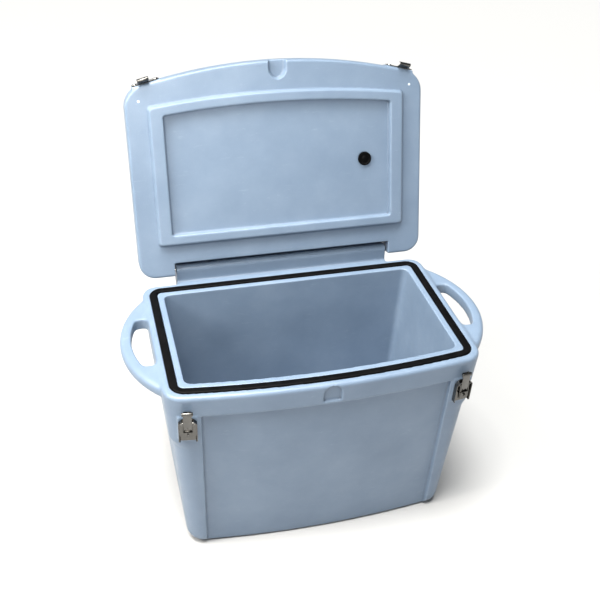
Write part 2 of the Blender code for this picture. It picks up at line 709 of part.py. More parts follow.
def build_lid():
    placed = Matrix.Translation((0, -HINGE_Y, -HINGE_RISE))
    opened = (Matrix.Translation((0, HINGE_Y, RIM_Z + HINGE_RISE))
              @ Matrix.Rotation(-math.radians(LID_OPEN_DEG), 4, "X"))
    hinge = empty("lid_hinge", opened)
    lid = add("lid_shell", lid_solid(), PLASTIC, hinge, placed)

    def cut(name, mesh, operation="DIFFERENCE", frame=None):
        matrix = placed @ frame if frame else placed
        boolean(lid, add(name, mesh, None, hinge, matrix), operation)

    cut("lid_plug", plug_solid(), "UNION")
    half_x, half_y = KEEPER_WIDTH / 2 + SEAT_MARGIN, KEEPER_HEIGHT / 2 + SEAT_MARGIN
    for side in (-1, 1):
        seat = block((-half_x, -half_y, -0.012), (half_x, half_y, 0))
        cut(f"keeper_seat_{side}", seat, "UNION", keeper_frame(side))
    cut("lid_recess", recess_solid())
    notch_half = HUMP_HALF_WIDTH + LID_NOTCH_GAP
    notch = block((-notch_half, LID_NOTCH_Y, -CUT_PAST),
                  (notch_half, LID_BACK_Y + CUT_PAST, LID_GAP + LID_THICK + CUT_PAST))
    cut("hinge_notch", notch)
    cut("lid_thumb", lid_thumb_scoop())
    boolean(lid, lid_foam_form("lid_foam_space", 0.0, None, hinge, placed))
    lid_foam_form("lid_foam_core", GAP, FOAM, hinge, placed)
    at_underside = Matrix.Translation((0, 0, LID_GAP))
    for name, cutter in fill_hole_cutters((LID_FILL_X, LID_FILL_Y)):
        cut(f"lid_{name}", cutter, "DIFFERENCE", at_underside)
    fill_plug("lid_fill_plug", (LID_FILL_X, LID_FILL_Y), hinge, placed @ at_underside)
    axis = (HINGE_Y, HINGE_RISE)
    for side in (-1, 1):
        for name, radius, start in (("knuckle_bore", ROD_R + ROD_BORE_GAP, notch_half - 0.002),
                                    ("cap_seat", ROD_CAP_R + GAP, ROD_CAP_SEAT)):
            ends = sorted((side * start, side * (LID_HALF_WIDTH + CUT_PAST)))
            cut(f"{name}_{side}", cylinder(radius, *ends, "X", centre=axis))
        ends = sorted((side * (ROD_CAP_SEAT + GAP), side * (ROD_CAP_SEAT + ROD_CAP_LENGTH)))
        cap = cylinder(ROD_CAP_R, *ends, "X", centre=axis)
        add(f"rod_cap_{side_word(side)}", cap, RUBBER, hinge, placed)
    for side in (-1, 1):
        build_keeper(side, hinge, placed @ keeper_frame(side), lid)


def build_keeper(side, hinge, frame, lid):
    """A steel plate on the lid front, with a hook that stands out for the claw."""
    word = side_word(side)
    half_x, half_y, corner = KEEPER_WIDTH / 2, KEEPER_HEIGHT / 2, KEEPER_CORNER
    plan = [(half_x, half_y - corner), (half_x - corner, half_y), (corner - half_x, half_y),
            (-half_x, half_y - corner), (-half_x, corner - half_y), (corner - half_x, -half_y),
            (half_x - corner, -half_y), (half_x, corner - half_y)]
    keeper = add(f"keeper_{word}", prism(plan, GAP, GAP + SHEET), STEEL, hinge, frame)
    root = GAP + SHEET / 2 + 0.0002
    path = [(-0.005, root), (-0.0105, root), (-0.0145, root + 0.0018), (0.0015 - HOOK_DROP, 0.0065),
            (-HOOK_DROP, 0.0085), (0.0008 - HOOK_DROP, HOOK_REACH - 0.0008),
            (0.0035 - HOOK_DROP, HOOK_REACH), (0.0075 - HOOK_DROP, HOOK_REACH)]
    middle = side * HOOK_SHIFT
    hook = prism(ribbon(path, SHEET), middle - HOOK_WIDTH / 2, middle + HOOK_WIDTH / 2, "X")
    boolean(keeper, add(f"keeper_hook_{word}", hook, None, hinge, frame), "UNION")
    for end in (-1, 1):
        name = f"keeper_rivet_{word}_{'outer' if end == side else 'inner'}"
        riveted(name, lid, keeper, (end * KEEPER_RIVET_X, 0.0), GAP + SHEET, hinge, frame)


# ---------------------------------------------------------------- toggle latches

def plate_outline(less=0.0):
    half_x, half_y, top = PLATE_WIDTH / 2 - less, PLATE_HEIGHT / 2 - less, PLATE_CHAMFER - 0.4 * less
    low = 0.003
    return [(half_x, half_y - top), (half_x - top, half_y), (top - half_x, half_y),
            (-half_x, half_y - top), (-half_x, low - half_y), (low - half_x, -half_y),
            (half_x - low, -half_y), (half_x, low - half_y)]


def build_latch(side, shell):
    word = side_word(side)
    frame = empty(f"latch_frame_{word}", latch_frame(side))
    pivot = empty(f"lever_axis_{word}", Matrix.Translation((0, PIVOT_Y, PIVOT_Z)), frame)
    claw_pin = (PIVOT_Y - CRANK, PIVOT_Z - CRANK_IN)
    axis = empty(f"claw_axis_{word}", Matrix.Translation((0, -CRANK, -CRANK_IN)), pivot)
    build_base_plate(word, frame, shell)
    build_lever(word, pivot, Matrix.Translation((0, -PIVOT_Y, -PIVOT_Z)), claw_pin)
    build_claw(word, axis, Matrix.Translation((0, -claw_pin[0], -claw_pin[1])), claw_pin)


def build_base_plate(word, frame, shell):
    """The riveted base: a dished plate, two ears for the lever's pin, and the staple."""
    plate = add(f"latch_base_{word}", prism(plate_outline(), GAP, CHEEK_HEIGHT), STEEL, frame)
    half_x, half_y = PLATE_WIDTH / 2, PLATE_HEIGHT / 2
    floor = GAP + SHEET
    mouth = half_x - PLATE_CHAMFER + SHEET * 1.2
    high = CHEEK_HEIGHT + CUT_PAST
    openings = (("dish", prism(plate_outline(SHEET), floor, high)),
                ("open_top", block((-mouth, half_y - 4 * SHEET, floor), (mouth, half_y + CUT_PAST, high))),
                ("open_low", block((-half_x - CUT_PAST, -half_y - CUT_PAST, floor),
                                   (half_x + CUT_PAST, 2 * SHEET - half_y, high))))
    for name, cutter in openings:
        boolean(plate, add(f"base_{name}_{word}", cutter, None, frame))
    half = STAPLE_WIDTH / 2
    tab = [(STAPLE_Y - half, floor - 0.001), (STAPLE_Y + half, floor - 0.001),
           (STAPLE_Y + half, STAPLE_TOP - 0.002), (STAPLE_Y + 0.0012, STAPLE_TOP),
           (STAPLE_Y - 0.0012, STAPLE_TOP), (STAPLE_Y - half, STAPLE_TOP - 0.002)]
    joined = [("staple", prism(tab, -SHEET / 2, SHEET / 2, "X"))]
    near = LEVER_WIDTH / 2 + 2 * GAP
    for end in (-1, 1):
        low, top = sorted((end * near, end * (near + SHEET)))
        ear = ([(PIVOT_Y - 0.0045, floor - 0.001), (PIVOT_Y + 0.0045, floor - 0.001)]
               + arc((PIVOT_Y, PIVOT_Z), PIVOT_R + 0.0018, 0, 180, 8))
        joined.append((f"ear_{end}", prism(ear, low, top, "X")))
    for name, mesh in joined:
        boolean(plate, add(f"base_{name}_{word}", mesh, None, frame), "UNION")
    eye = cylinder(0.0015, -0.004, 0.004, "X", 12, (STAPLE_Y, STAPLE_TOP - 0.0033))
    boolean(plate, add(f"staple_eye_{word}", eye, None, frame))
    reach = near + SHEET + 0.001
    bore = cylinder(PIVOT_R + GAP, -reach, reach, "X", 16, (PIVOT_Y, PIVOT_Z))
    boolean(plate, add(f"base_pin_bore_{word}", bore, None, frame))
    add(f"lever_pin_{word}", cylinder(PIVOT_R, -reach, reach, "X", 16, (PIVOT_Y, PIVOT_Z)), STEEL, frame)
    for spot, y in RIVET_ROWS:
        riveted(f"base_rivet_{spot}_{word}", shell, plate, (0.0, y), floor, frame, Matrix.Identity(4))


def build_lever(word, pivot, placed, claw_pin):
    """The closing lever: two ears, a slotted plate over the staple, and a lip curled outwards."""
    half, face, low = LEVER_WIDTH / 2, LEVER_RISE, LEVER_BOTTOM
    back = [(low + 0.004, face - 0.003), (claw_pin[0] - 0.005, claw_pin[1] - 0.0020),
            (claw_pin[0] + 0.002, claw_pin[1] - 0.0020)]
    eye = arc((PIVOT_Y, PIVOT_Z), LEVER_EYE_R, -90, 110, 10)
    front = [(claw_pin[0], face + SHEET), (low + 0.009, face + SHEET), (low + 0.004, face + SHEET + 0.0012),
             (low + 0.0005, face + LIP_REACH * 0.55), (low - 0.0025, face + LIP_REACH),
             (low - 0.0040, face + LIP_REACH - 0.0008), (low - 0.002, face + LIP_REACH * 0.35),
             (low + 0.002, face - 0.0006)]
    lever = add(f"latch_lever_{word}", prism(back + eye + front, -half, half, "X"), STEEL, pivot, placed)
    inner = half - SHEET
    slot_half, slot_reach = SLOT_WIDTH / 2, (SLOT_LENGTH - SLOT_WIDTH) / 2
    slot = (arc((0, STAPLE_Y + slot_reach), slot_half, 0, 180, 6)
            + arc((0, STAPLE_Y - slot_reach), slot_half, 180, 360, 6))
    openings = (("channel", block((-inner, low + 0.0075, -CUT_PAST), (inner, PIVOT_Y + CUT_PAST, face))),
                ("window", block((-inner, LEVER_WINDOW, -CUT_PAST),
                                 (inner, PIVOT_Y + CUT_PAST, face + CUT_PAST))),
                ("slot", prism(slot, face - 0.003, face + 0.006)),
                ("pivot_bore", cylinder(PIVOT_R + GAP, -half - 0.002, half + 0.002, "X", 16,
                                        (PIVOT_Y, PIVOT_Z))),
                ("claw_bore", cylinder(CLAW_PIN_R + GAP, -half - 0.002, half + 0.002, "X", 16, claw_pin)))
    for name, cutter in openings:
        boolean(lever, add(f"lever_{name}_{word}", cutter, None, pivot, placed))


def build_claw(word, axis, placed, claw_pin):
    """The claw plate, bent over at its top, and the pin that carries it in the lever."""
    y, z = claw_pin
    low = PIVOT_Z + PIVOT_R + 0.0004
    high, top, neck = low + SHEET, CLAW_TOP, CLAW_TOP - CLAW_HEAD
    foot = [(y - 0.0015, z - 0.0020), (y + 0.0015, z - 0.0020), (y + 0.0026, z), (y + 0.0026, low - 0.0004),
            (y + 0.0032, low), (neck, low), (neck, high), (y, high), (y - 0.002, high - 0.0006),
            (y - 0.0026, low), (y - 0.0026, z)]
    half = CLAW_WIDTH / 2
    claw = add(f"latch_claw_{word}", prism(foot, -half, half, "X"), STEEL, axis, placed)
    tip = CLAW_TIP_Z
    head = [(neck - 0.001, low + 0.0001), (top - SHEET - 0.0004, low + 0.0001), (top - SHEET, low - 0.0004),
            (top - SHEET, tip + 0.0014), (top - SHEET - 0.003, tip + 0.0014), (top - SHEET - 0.003, tip),
            (top - 0.0008, tip), (top, tip + 0.0008), (top, high - 0.0012), (top - 0.0012, high + 0.0001),
            (neck - 0.001, high + 0.0001)]
    bar = prism(head, -CLAW_HEAD_WIDTH / 2, CLAW_HEAD_WIDTH / 2, "X")
    boolean(claw, add(f"claw_head_{word}", bar, None, axis, placed), "UNION")
    bore = cylinder(CLAW_PIN_R + GAP, -half - 0.002, half + 0.002, "X", 16, claw_pin)
    boolean(claw, add(f"claw_bore_{word}", bore, None, axis, placed))
    reach = LEVER_WIDTH / 2 - GAP
    add(f"claw_pin_{word}", cylinder(CLAW_PIN_R, -reach, reach, "X", 16, claw_pin), STEEL, axis, placed)


# ---------------------------------------------------------------- assembly

body_shell = build_body()
build_lid()
for latch_side in (-1, 1):
    build_latch(latch_side, body_shell)
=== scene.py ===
"""Insulated cool box with its lid standing open: the looks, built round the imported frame."""

import math

import bmesh
import bpy
from mathutils import Matrix, Vector


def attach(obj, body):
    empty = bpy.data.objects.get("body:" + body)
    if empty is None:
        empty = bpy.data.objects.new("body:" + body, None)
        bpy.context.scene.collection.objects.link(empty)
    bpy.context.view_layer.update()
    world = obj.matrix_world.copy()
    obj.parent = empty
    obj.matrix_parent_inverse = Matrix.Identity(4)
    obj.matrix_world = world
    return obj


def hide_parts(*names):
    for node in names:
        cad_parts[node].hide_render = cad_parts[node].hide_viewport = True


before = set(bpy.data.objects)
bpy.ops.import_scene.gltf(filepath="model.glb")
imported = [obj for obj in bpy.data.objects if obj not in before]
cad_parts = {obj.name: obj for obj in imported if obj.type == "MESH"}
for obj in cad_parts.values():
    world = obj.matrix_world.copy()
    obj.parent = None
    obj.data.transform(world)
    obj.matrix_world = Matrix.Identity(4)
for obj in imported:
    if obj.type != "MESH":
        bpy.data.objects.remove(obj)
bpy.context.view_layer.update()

# Body, in metres. The rim plane is at RIM_Z; a draft is a wall's slope against the vertical.
RIM_Z = 0.391
BAND_HALF = 0.2945
BAND_DRAFT = 0.0755
END_STEP_Z = RIM_Z - 0.110
END_STEP_RAMP = 0.014
END_STEP_IN = 0.0055
FRONT_Y = 0.1751
BACK_Y = 0.1740
WALL_DRAFT = 0.0455
BOW = 0.0206
BOW_HALF = 0.280
CORNER_R = 0.030
RIM_ROUND = 0.0075
BASE_ROUND = 0.022
BAND_HEIGHT = 0.045
PANEL_STEP = 0.009
PANEL_HALF = 0.232
PANEL_SIDE_DRAFT = 0.016
PANEL_EDGE = 0.002
PANEL_FLARE = 1.10
FRONT_PANEL_OUT = 0.26
BACK_PANEL_OUT = 0.25
BACK_PANEL_DROP = 0.090
THUMB_HALF = 0.0165
THUMB_TOP = RIM_Z - 0.004
THUMB_LOW = RIM_Z - 0.0385
THUMB_DEPTH = 0.0050

# Liner and gasket.
MOUTH_HALF = 0.2533
MOUTH_DEPTH = 0.1349
MOUTH_R = 0.012
LINER_DRAFT = 0.075
FLOOR_Z = 0.045
FLOOR_ROUND = 0.018
GASKET_HALF = 0.280
GASKET_DEPTH = 0.1616
GASKET_WIDTH = 0.0147
GASKET_R = 0.024
GASKET_PROUD = 0.0022
GROOVE_DEPTH = 0.006
GASKET_EDGE = 0.0032

# Handles.
HANDLE_REACH = 0.351
HANDLE_R = 0.1991
HANDLE_BAR = 0.021
HANDLE_TOP = RIM_Z - 0.004
HANDLE_LOW = RIM_Z - 0.028
HANDLE_CUT_X = 0.270
FINGER_HALF = 0.070
HANDLE_ROUND = 0.0085
FINGER_ROUND = 0.009

# Hinge.
HINGE_Y = 0.1902
HINGE_RISE = 0.0215
HINGE_Z = RIM_Z + HINGE_RISE
HUMP_HALF = 0.2205
HUMP_R = 0.010
HUMP_BACK = 0.212
HUMP_DROP = 0.045
HUMP_WALL = 0.009
STOP_GAP = 0.0006
CAP_SEAT_R = 0.0053
CAP_SEAT_X = 0.270

# Lid, in its closed place over the rim.
LID_OPEN = math.radians(105.1)
LID_LOW = 0.0027
LID_HIGH = LID_LOW + 0.044
LID_HALF = 0.2926
LID_FRONT = 0.1669
LID_BOW = 0.0419
LID_BACK = 0.199
LID_CORNER = 0.032
NOTCH_Y = 0.171
FRAME_CLEAR = 0.0045
FRAME_FACE = LID_LOW - 0.010
RECESS_HALF = 0.2246
RECESS_DEPTH = 0.113
FRAME_R = 0.006
FRAME_FLARE = 0.004
FRAME_ROUND = 0.0014
RECESS_R = 0.004
RECESS_DRAFT = 0.001
LID_EDGE_ROUND = 0.005
LID_TOP_ROUND = 0.014
NOTCH_CLEAR = 0.003
PIP_X = 0.266
PIP_Y = -0.148
PIP_R = 0.0024
PIP_PROUD = 0.0004
SCOOP_R = 0.0205
SCOOP_END = -0.171
SCOOP_DEPTH = 0.010
PLUG_X = 0.1725
PLUG_Y = -0.0072
PLUG_R = 0.0135

# Latches and keepers.
LATCH_X = 0.2555
LATCH_DROP = 0.070
SEAT_PROUD = 0.0015
KEEPER_X = 0.249
KEEPER_RISE = 0.016
GAP = 0.0003
SHEET = 0.0015
PLATE_FACE = GAP + SHEET
PLATE_HALF = 0.0165
PLATE_REACH = 0.026
PLATE_CHAMFER = 0.008
CHEEK_TOP = 0.009
PIVOT = (0.018, 0.0055)
PIVOT_R = 0.00175
CLAW_AXIS = (0.012, 0.0042)
CLAW_AXIS_R = 0.0015
STAPLE_Y = -0.0032
STAPLE_TOP = 0.0155
SLOT_R = 0.0021
CLAW_TOP = 0.045
RIVET_R = 0.004
RIVET_HEAD = 0.0014

CUT_PAST = 0.010
BOW_CUTS = 28

# Light.
WORLD_LIGHT = 0.24
OVERHEAD = (-0.10, -0.05, 1.0)
OVERHEAD_LIGHT = 6.0
KEY_PLACE = (-0.60, -0.05, 1.50)
KEY_LIGHT = 10.0
SIDE_PLACE = (-2.00, -0.28, 1.85)
SIDE_LIGHT = 60.0
FILL_PLACE = (-0.25, -0.42, 1.02)
FILL_LIGHT = 3.4
CATCH_PLACE = (-0.55, -2.40, 0.95)
CATCH_LIGHT = 7.0
FLOOR_GREY = 0.45


# ---------------------------------------------------------------- camera and light

def aim_camera():
    data = bpy.data.cameras.new("camera")
    data.lens = 54.68
    data.sensor_width = 36.0
    made = bpy.data.objects.new("camera", data)
    right = Vector((0.9675, -0.2503, 0.0361)).normalized()
    forward = Vector((0.2257, 0.7901, -0.5700)).normalized()
    up = right.cross(forward)
    turn = Matrix((right, up, -forward)).transposed().to_4x4()
    made.matrix_world = Matrix.Translation((-0.3989, -1.3505, 1.4138)) @ turn
    bpy.context.scene.collection.objects.link(made)
    bpy.context.scene.camera = made


def soft_box(name, place, target, size, watts, colour=(1.0, 1.0, 1.0)):
    data = bpy.data.lights.new(name, "AREA")
    data.shape = "RECTANGLE"
    data.size, data.size_y = size
    data.energy = watts
    data.color = colour
    made = bpy.data.objects.new(name, data)
    made.location = place
    aim = Vector(target) - Vector(place)
    made.rotation_mode = "QUATERNION"
    made.rotation_quaternion = aim.to_track_quat("-Z", "Y")
    bpy.context.scene.collection.objects.link(made)


def sun_light(name, towards, strength, spread, colour):
    data = bpy.data.lights.new(name, "SUN")
    data.energy = strength
    data.angle = math.radians(spread)
    data.color = colour
    made = bpy.data.objects.new(name, data)
    made.rotation_mode = "QUATERNION"
    made.rotation_quaternion = Vector(towards).to_track_quat("Z", "Y")
    bpy.context.scene.collection.objects.link(made)


def light_studio():
    world = bpy.data.worlds.new("studio")
    bpy.context.scene.world = world
    world.use_nodes = True
    background = world.node_tree.nodes["Background"]
    background.inputs["Color"].default_value = (0.90, 0.95, 1.0, 1.0)
    background.inputs["Strength"].default_value = WORLD_LIGHT
    sun_light("overhead", OVERHEAD, OVERHEAD_LIGHT, 28.0, (1.0, 0.99, 0.96))
    soft_box("key", KEY_PLACE, (0.0, 0.20, 0.5), (0.6, 0.6), KEY_LIGHT, (1.0, 0.96, 0.89))
    soft_box("side", SIDE_PLACE, (0.0, 0.1, 0.4), (0.8, 0.8), SIDE_LIGHT, (1.0, 0.96, 0.89))
    soft_box("fill", FILL_PLACE, (0.0, 0.22, 0.5), (0.35, 0.25), FILL_LIGHT, (1.0, 0.97, 0.92))
    soft_box("catch", CATCH_PLACE, (-0.25, -0.2, 0.3), (0.6, 0.6), CATCH_LIGHT)
    bpy.context.scene.view_settings.view_transform = "Standard"
    bpy.context.scene.view_settings.look = "None"
    bpy.context.scene.view_settings.exposure = 0.0
    bpy.context.scene.view_settings.gamma = 1.0


# ---------------------------------------------------------------- materials

def new_shader(name):
    made = bpy.data.materials.new(name)
    made.use_nodes = True
    tree = made.node_tree
    return made, tree, tree.nodes["Principled BSDF"]


def pattern(tree, kind, scale, detail=4.0, roughness=0.55, stretch=None):
    """A noise or cell pattern on Object coordinates."""
    place = tree.nodes.new("ShaderNodeTexCoord").outputs["Object"]
    if stretch:
        mapping = tree.nodes.new("ShaderNodeMapping")
        mapping.inputs["Scale"].default_value = stretch
        tree.links.new(place, mapping.inputs["Vector"])
        place = mapping.outputs["Vector"]
    made = tree.nodes.new(kind)
    tree.links.new(place, made.inputs["Vector"])
    made.inputs["Scale"].default_value = scale
    if kind == "ShaderNodeTexNoise":
        made.inputs["Detail"].default_value = detail
        made.inputs["Roughness"].default_value = roughness
    return made.outputs[0]


def ramp(tree, source, stops):
    made = tree.nodes.new("ShaderNodeValToRGB")
    tree.links.new(source, made.inputs["Fac"])
    elements = made.color_ramp.elements
    while len(elements) < len(stops):
        elements.new(0.5)
    for element, (place, colour) in zip(elements, stops):
        element.position = place
        element.color = (*colour, 1.0) if len(colour) == 3 else colour
    return made.outputs["Color"]


def grey_ramp(tree, source, low, high, low_value, high_value):
    return ramp(tree, source, [(low, (low_value,) * 3), (high, (high_value,) * 3)])


def mixed(tree, blend, factor, first, second):
    made = tree.nodes.new("ShaderNodeMix")
    made.data_type = "RGBA"
    made.blend_type = blend
    for value, socket in ((factor, made.inputs[0]), (first, made.inputs[6]), (second, made.inputs[7])):
        if isinstance(value, (int, float)):
            socket.default_value = value
        elif isinstance(value, tuple):
            socket.default_value = (*value, 1.0)
        else:
            tree.links.new(value, socket)
    return made.outputs[2]


def bumps(tree, shader, layers):
    normal = None
    for height, strength, distance in layers:
        made = tree.nodes.new("ShaderNodeBump")
        made.inputs["Strength"].default_value = strength
        made.inputs["Distance"].default_value = distance
        tree.links.new(height, made.inputs["Height"])
        if normal:
            tree.links.new(normal, made.inputs["Normal"])
        normal = made.outputs["Normal"]
    tree.links.new(normal, shader.inputs["Normal"])


def moulded_plastic():
    """Blue-grey rotomoulded polyethylene: clouded colour, satin skin, scuffs, an orange-peel grain, convex
    edges painted lighter as edge wear and painted highlight, and painted shade in the creases.
    """
    made, tree, shader = new_shader("moulded_polyethylene")
    clouds = pattern(tree, "ShaderNodeTexNoise", 9.0, 6.0, 0.6)
    colour = ramp(tree, clouds, [(0.30, (0.138, 0.192, 0.270)), (0.52, (0.158, 0.216, 0.298)),
                                 (0.72, (0.180, 0.240, 0.324))])
    specks = pattern(tree, "ShaderNodeTexNoise", 260.0, 3.0, 0.7)
    speck_mask = grey_ramp(tree, specks, 0.62, 0.74, 0.0, 0.16)
    colour = mixed(tree, "MIX", speck_mask, colour, (0.30, 0.38, 0.47))
    scuffs = pattern(tree, "ShaderNodeTexNoise", 34.0, 8.0, 0.72, (1.0, 1.0, 4.0))
    scuff_mask = grey_ramp(tree, scuffs, 0.60, 0.72, 0.0, 0.22)
    colour = mixed(tree, "MIX", scuff_mask, colour, (0.31, 0.39, 0.48))
    fold = tree.nodes.new("ShaderNodeNewGeometry").outputs["Pointiness"]
    # Convex edges painted lighter: partly edge wear, partly painted highlight along the rounded edges.
    worn_and_highlit = mixed(tree, "MIX", grey_ramp(tree, fold, 0.515, 0.60, 0.0, 0.55), colour, (0.33, 0.41, 0.50))
    # Concave creases painted dark blue-black: painted shade where the creases are shadowed.
    painted_crease_shade = mixed(tree, "MIX", grey_ramp(tree, fold, 0.43, 0.492, 0.90, 0.0), worn_and_highlit, (0.040, 0.058, 0.090))
    tree.links.new(painted_crease_shade, shader.inputs["Base Color"])
    haze = pattern(tree, "ShaderNodeTexNoise", 22.0, 7.0, 0.6)
    tree.links.new(grey_ramp(tree, haze, 0.3, 0.75, 0.34, 0.50), shader.inputs["Roughness"])
    shader.inputs["IOR"].default_value = 1.50
    shader.inputs["Subsurface Weight"].default_value = 0.06
    shader.inputs["Subsurface Radius"].default_value = (0.004, 0.005, 0.006)
    shader.inputs["Subsurface Scale"].default_value = 0.6
    waves = pattern(tree, "ShaderNodeTexNoise", 14.0, 2.0, 0.5)
    grain = pattern(tree, "ShaderNodeTexNoise", 520.0, 3.0, 0.6)
    bumps(tree, shader, [(waves, 0.28, 0.0035), (grain, 0.10, 0.0004)])
    return made


def black_rubber():
    made, tree, shader = new_shader("black_rubber")
    dust = pattern(tree, "ShaderNodeTexNoise", 60.0, 6.0, 0.65)
    tree.links.new(ramp(tree, dust, [(0.45, (0.0012, 0.0012, 0.0014)), (0.80, (0.0040, 0.0040, 0.0045))]),
                   shader.inputs["Base Color"])
    tree.links.new(grey_ramp(tree, dust, 0.35, 0.8, 0.46, 0.66), shader.inputs["Roughness"])
    shader.inputs["Specular IOR Level"].default_value = 0.06
    grain = pattern(tree, "ShaderNodeTexNoise", 900.0, 3.0, 0.6)
    bumps(tree, shader, [(grain, 0.15, 0.0003)])
    return made


def stainless(name, tint, roughness_low, roughness_high):
    """Pressed stainless sheet with a fine rolled grain and handling marks."""
    made, tree, shader = new_shader(name)
    smudge = pattern(tree, "ShaderNodeTexNoise", 90.0, 5.0, 0.6)
    tree.links.new(ramp(tree, smudge, [(0.3, tuple(0.80 * c for c in tint)), (0.75, tint)]),
                   shader.inputs["Base Color"])
    shader.inputs["Metallic"].default_value = 1.0
    tree.links.new(grey_ramp(tree, smudge, 0.3, 0.75, roughness_low, roughness_high),
                   shader.inputs["Roughness"])
    grain = pattern(tree, "ShaderNodeTexNoise", 700.0, 2.0, 0.5, (1.0, 1.0, 0.06))
    bumps(tree, shader, [(grain, 0.08, 0.0003)])
    return made


def pale_sprue():
    """The gate marks: the same plastic, coloured much paler and left glossy."""
    made, tree, shader = new_shader("pale_pip_plastic")
    haze = pattern(tree, "ShaderNodeTexNoise", 400.0, 4.0, 0.6)
    tree.links.new(ramp(tree, haze, [(0.3, (0.62, 0.70, 0.78)), (0.7, (0.80, 0.86, 0.92))]),
                   shader.inputs["Base Color"])
    shader.inputs["Roughness"].default_value = 0.30
    return made


def rigid_foam():
    made, tree, shader = new_shader("insulating_foam")
    cells = pattern(tree, "ShaderNodeTexVoronoi", 380.0)
    tree.links.new(ramp(tree, cells, [(0.0, (0.58, 0.47, 0.24)), (0.7, (0.80, 0.71, 0.46))]),
                   shader.inputs["Base Color"])
    shader.inputs["Roughness"].default_value = 0.9
    bumps(tree, shader, [(cells, 0.4, 0.001)])
    return made


def pale_floor():
    made, tree, shader = new_shader("pale_floor")
    shader.inputs["Base Color"].default_value = (FLOOR_GREY, FLOOR_GREY, FLOOR_GREY, 1.0)
    shader.inputs["Roughness"].default_value = 0.9
    return made


PLASTIC = moulded_plastic()
RUBBER = black_rubber()
# The pressed stainless tint is kept very dark: a painted dark reflection, so the sheet reads dark with only
# the lamps as highlights.
STEEL = stainless("pressed_stainless_painted_dark", (0.150, 0.145, 0.136), 0.13, 0.24)
PIN_STEEL = stainless("turned_stainless", (0.62, 0.61, 0.59), 0.14, 0.24)
FOAM = rigid_foam()
PIP_PLASTIC = pale_sprue()


# ---------------------------------------------------------------- mesh helpers

def bevelled(mesh, edges, width, segments):
    bmesh.ops.bevel(mesh, geom=edges, offset=width, offset_type="OFFSET", segments=segments,
                    profile=0.5, affect="EDGES", material=-1, clamp_overlap=False)


def bowed(mesh, bow, bow_half, cuts=BOW_CUTS):
    """Cuts the mesh across its length and swells its front, so that it bows outwards."""
    reach = max(abs(v.co.x) for v in mesh.verts)
    for i in range(1, cuts):
        place = (reach * (2 * i / cuts - 1), 0, 0)
        geometry = mesh.verts[:] + mesh.edges[:] + mesh.faces[:]
        bmesh.ops.bisect_plane(mesh, geom=geometry, plane_co=place, plane_no=(1, 0, 0), dist=1e-6)
    for v in mesh.verts:
        if v.co.y < 0:
            v.co.y -= bow * (1 - (v.co.x / bow_half) ** 2)


def drafted_block(low, high, z_low, z_high, corner=0.0, base_round=0.0, top_round=0.0,
                  bow=BOW, bow_half=BOW_HALF):
    """A rounded block between two levels. low and high are (half width, front y, back y)."""
    mesh = bmesh.new()
    bmesh.ops.create_cube(mesh, size=2.0)
    for v in mesh.verts:
        half, front, back = low if v.co.z < 0 else high
        v.co = (half if v.co.x > 0 else -half, back if v.co.y > 0 else front,
                z_low if v.co.z < 0 else z_high)
    middle = (z_low + z_high) / 2
    if corner:
        upright = [e for e in mesh.edges if (e.verts[0].co.z - middle) * (e.verts[1].co.z - middle) < 0]
        bevelled(mesh, upright, corner, 8)
    for width, level in ((base_round, z_low), (top_round, z_high)):
        if width:
            ring = [e for e in mesh.edges if all(abs(v.co.z - level) < 1e-6 for v in e.verts)]
            bevelled(mesh, ring, width, 6)
    if bow:
        bowed(mesh, bow, bow_half)
    return mesh


def plain_block(low, high, matrix=None):
    mesh = bmesh.new()
    bmesh.ops.create_cube(mesh, size=1.0)
    low, high = Vector(low), Vector(high)
    bmesh.ops.scale(mesh, vec=high - low, verts=mesh.verts)
    bmesh.ops.translate(mesh, vec=(low + high) / 2, verts=mesh.verts)
    if matrix:
        mesh.transform(matrix)
    return mesh


def round_bar(radius, low, high, axis="Z", segments=64, centre=(0.0, 0.0), radius_high=None):
    """A cylinder or cone along an axis, centred on the other two."""
    mesh = bmesh.new()
    bmesh.ops.create_cone(mesh, cap_ends=True, segments=segments, radius1=radius,
                          radius2=radius if radius_high is None else radius_high, depth=high - low)
    bmesh.ops.translate(mesh, vec=(0, 0, (high + low) / 2), verts=mesh.verts)
    turns = {"X": (Matrix.Rotation(math.pi / 2, 3, "Y"), (0, *centre)),
             "Y": (Matrix.Rotation(-math.pi / 2, 3, "X"), (centre[0], 0, centre[1])),
             "Z": (Matrix.Identity(3), (*centre, 0))}
    turn, shift = turns[axis]
    bmesh.ops.rotate(mesh, matrix=turn, verts=mesh.verts)
    bmesh.ops.translate(mesh, vec=shift, verts=mesh.verts)
    return mesh


def swept(points, low, high, axis="X"):
    """A flat outline of (a, b) points, extruded along the axis."""
    place = {"X": lambda a, b, c: (c, a, b), "Y": lambda a, b, c: (a, c, b),
             "Z": lambda a, b, c: (a, b, c)}[axis]
    mesh = bmesh.new()
    face = mesh.faces.new([mesh.verts.new(place(a, b, low)) for a, b in points])
    grown = bmesh.ops.extrude_face_region(mesh, geom=[face])
    moved = [item for item in grown["geom"] if isinstance(item, bmesh.types.BMVert)]
    bmesh.ops.translate(mesh, vec=Vector(place(0, 0, high - low)), verts=moved)
    bmesh.ops.recalc_face_normals(mesh, faces=mesh.faces)
    return mesh


def arc(centre, radius, start, end, steps):
    angles = (math.radians(start + (end - start) * i / steps) for i in range(steps + 1))
    return [(centre[0] + radius * math.cos(a), centre[1] + radius * math.sin(a)) for a in angles]


def mirrored(mesh):
    """The same solid on the other side of the box."""
    other = mesh.copy()
    bmesh.ops.scale(other, vec=(-1, 1, 1), verts=other.verts)
    bmesh.ops.reverse_faces(other, faces=other.faces)
    return other


def helper(mesh, name):
    data = bpy.data.meshes.new(name)
    mesh.to_mesh(data)
    mesh.free()
    made = bpy.data.objects.new(name, data)
    bpy.context.scene.collection.objects.link(made)
    return made


